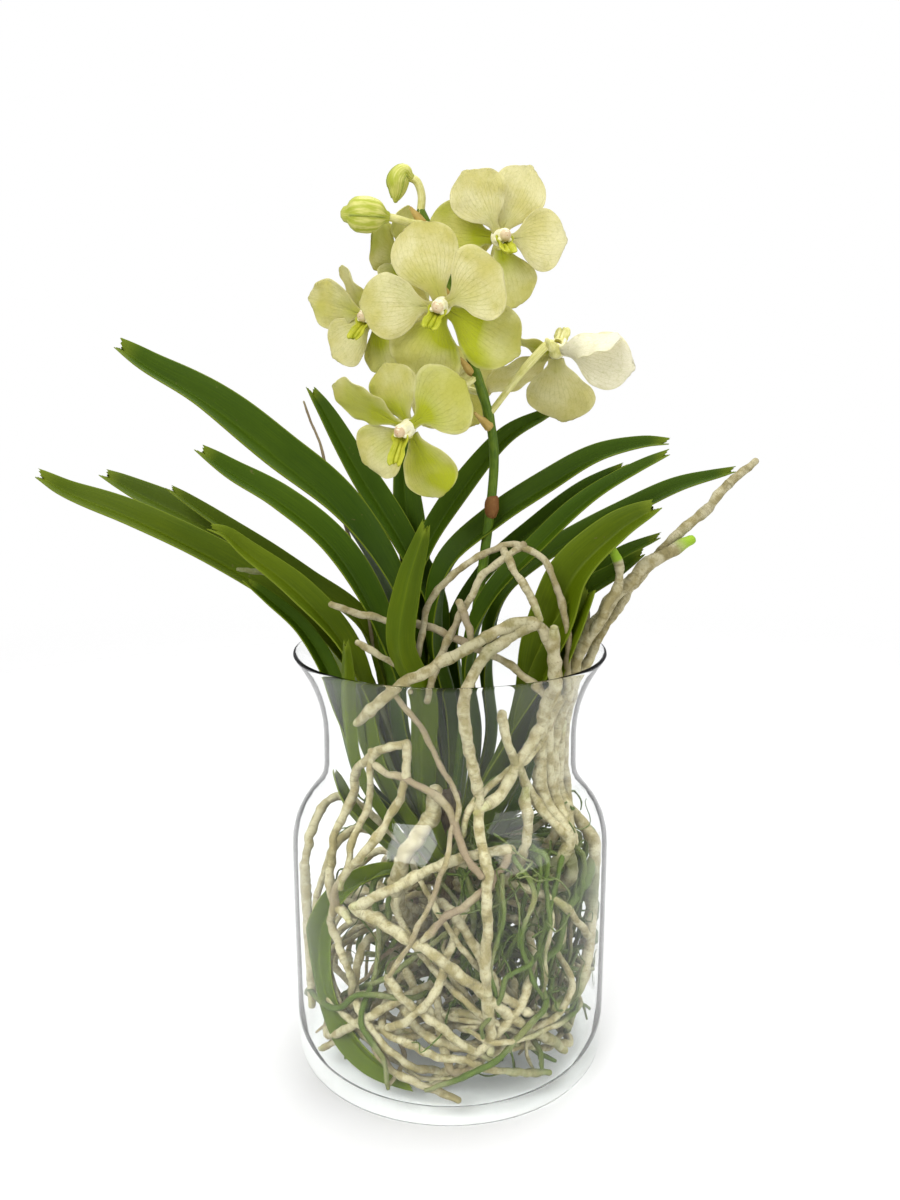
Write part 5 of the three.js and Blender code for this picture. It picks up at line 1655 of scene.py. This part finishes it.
def make_flowers() -> None:
    """Builds the spike, its blooms and its buds.

    The centres of the first four blooms are as a converting program printed them.
    """
    # The last number of each tepal row is its green mark: partly painted shade on shaded tepals, and below 0
    # painted light on lit and backlit tepals.
    blooms = [
        Bloom("bloom_front", (-4, -46, 442), (-0.22, -1, -0.1), 18, 9, 1, tepals(
            (-19, 41, 37, 0, 0, 0.02), (62, 36, 39, 18, 0, -0.02), (-89, 40, 34, 8, 10, -0.02),
            (122, 43, 35, -2, 0, 0.95), (-157, 39, 41, -4, 0, 0.85))),
        Bloom("bloom_upper_right", (26, -18, 479), (0.3, -1, 0.05), 0, 8, 1, tepals(
            (27, 40, 30, 0, 0, -0.08), (91, 34, 33, 8, 0, -0.14), (-31, 35, 33, 8, 0, -0.10),
            (164, 34, 34, -5, 0, 0.62), (-82, 35, 33, -8, 0, 0.85))),
        Bloom("bloom_left", (-42, -10, 439), (-0.5, -0.87, 0), 10, 12, 0.97, tepals(
            (-40, 33, 26, 5, 50, 0.45), (80, 34, 30, 0, 0, 0.15), (-75, 41, 30, 5, 20, 0.36),
            (167, 30, 28, -5, 0, 0.80), (-128, 31, 30, 10, 0, 0.26))),
        Bloom("bloom_lower", (-22, -40, 380), (-0.4, -0.9, -0.15), 5, 17, 1, tepals(
            (-21, 32, 30, 0, 0, 0.62), (55, 38, 40, 0, 0, 1.10), (-60, 44, 30, 10, 35, 0.62),
            (160, 38, 32, -3, 0, 0.95), (-124, 34, 32, 0, 0, 0.34))),
        Bloom("bloom_right", (60, 8, 421), (0.35, 0.8, 0.5), 180, 2, 1, tepals(
            (178, 40, 42, 0, 0, -0.16), (120, 48, 30, 0, 40, -0.10), (-104, 42, 32, 3, 25, -0.80),
            (72, 32, 28, 0, 50, 0.20), (-75, 38, 24, 0, 85, -0.6)), lip_finish=Finish.STALK),
        Bloom("bloom_back", (0, 42, 400), (0.2, 1, -0.1), 20, 14, 0.62, tepals(
            (0, 40, 38, 0, 0, 0.05), (68, 42, 42, 2, 0, 0.05), (-68, 42, 42, 2, 0, 0.05),
            (137, 41, 39, 0, 0, 0.1), (-137, 41, 39, 0, 0, 0.1))),
        Bloom("bloom_back_left", (-27, 27, 472), (-0.8, 0.55, 0.05), 10, 14, 0.7, tepals(
            (0, 40, 38, 0, 0, 0.8), (68, 42, 42, 2, 0, 0.7), (-68, 42, 42, 2, 0, 0.7),
            (137, 41, 39, 0, 0, 0.9), (-137, 41, 39, 0, 0, 0.9))),
    ]
    Spike().build(blooms)
    for seed, bloom in enumerate(blooms, 1):
        bloom.build_petals(seed)
        bloom.build_lip(seed)
    Bud("bud_tip", [(-21.5, -4, 512.5), (-25, -5, 514.5), (-28, -6, 511), (-28.5, -6, 506), (-29.5, -6, 500)],
        [2.6, 5.2, 6.0, 4.4, 1.6]).build(3)
    Bud("bud_side", [(-34.5, -11, 491), (-39, -12, 491.6), (-45, -12.5, 492), (-51, -12.5, 492.2),
                     (-55, -12.5, 492.2)], [3.4, 8.2, 9.4, 9.0, 5.6]).build(9)


# ------------------------------------------------------------------ studio
@dataclass
class Studio:
    """Pale floor, soft lights and camera, in metres and radians, with the lens in millimetres.

    The sky has one strength for soft light, one in reflections, and one straight or through glass.
    """

    floor_radius: float = 9.0
    camera_place: Point = (0.0, -0.6227, 0.3998)
    camera_pitch: float = 0.191247
    lens: float = 32.56
    sky_straight: float = 1.0
    sky_reflected: float = 0.35
    sky_soft: float = 0.62

    def build_floor(self) -> None:
        """Lays a round pale floor under the vase."""
        mesh = bpy.data.meshes.new("pale_floor")
        angles = np.linspace(0, 2 * math.pi, 96, endpoint=False)
        rim = [(self.floor_radius * math.cos(a), self.floor_radius * math.sin(a), -0.0003) for a in angles]
        mesh.from_pydata(rim, [], [list(range(96))])
        mesh.materials.append(Finish.FLOOR.material)
        floor = bpy.data.objects.new("pale_floor", mesh)
        bpy.context.collection.objects.link(floor)

    def build_lights(self) -> None:
        """Hangs three soft lights and a bright pale sky."""
        world = bpy.data.worlds.new("pale_sky")
        world.use_nodes = True
        sky = world.node_tree.nodes["Background"]
        sky.inputs["Color"].default_value = (1.0, 1.0, 1.0, 1.0)
        path = world.node_tree.nodes.new("ShaderNodeLightPath")
        target = sky.inputs["Strength"]
        for ray, strength in (
            ("Is Camera Ray", self.sky_straight),
            ("Is Transmission Ray", self.sky_straight),
            ("Is Glossy Ray", self.sky_reflected),
        ):
            level = world.node_tree.nodes.new("ShaderNodeMapRange")
            level.inputs["To Min"].default_value = self.sky_soft
            level.inputs["To Max"].default_value = strength
            world.node_tree.links.new(path.outputs[ray], level.inputs["Value"])
            world.node_tree.links.new(level.outputs["Result"], target)
            target = level.inputs["To Min"]
        bpy.context.scene.world = world
        bpy.context.scene.view_settings.view_transform = "Standard"
        for name, place, size, watts in (
            ("key_softbox", (-0.8, -1.2, 1.5), 1.0, 25.0),
            ("fill_softbox", (1.3, -0.9, 0.9), 1.1, 10.0),
            ("top_softbox", (0.2, 0.5, 1.9), 1.2, 22.0),
        ):
            light = bpy.data.lights.new(name, "AREA")
            light.size = size
            light.energy = watts
            lamp = bpy.data.objects.new(name, light)
            lamp.location = place
            aim = Vector((0.0, 0.0, 0.28)) - Vector(place)
            lamp.rotation_euler = aim.to_track_quat("-Z", "Y").to_euler()
            bpy.context.collection.objects.link(lamp)

    def build_camera(self) -> None:
        """Sets up the camera."""
        data = bpy.data.cameras.new("front_camera")
        data.lens = self.lens
        data.sensor_width = 36.0
        data.clip_start = 0.01
        camera = bpy.data.objects.new("front_camera", data)
        camera.location = self.camera_place
        camera.rotation_euler = (math.pi / 2 - self.camera_pitch, 0.0, 0.0)
        bpy.context.collection.objects.link(camera)
        bpy.context.scene.camera = camera

    def build(self) -> None:
        """Builds floor, lights and camera."""
        self.build_floor()
        self.build_lights()
        self.build_camera()


def main() -> None:
    """Builds the orchid, its vase and the studio."""
    Studio().build()
    vase = Vase()
    vase.build()
    make_leaves(vase)
    roots = RootSystem()
    roots.build_main(vase)
    roots.build_finer(vase)
    roots.build_mossy(vase)
    roots.build_strings(vase)
    make_flowers()
    bpy.context.view_layer.update()


if __name__ == "__main__":
    main()
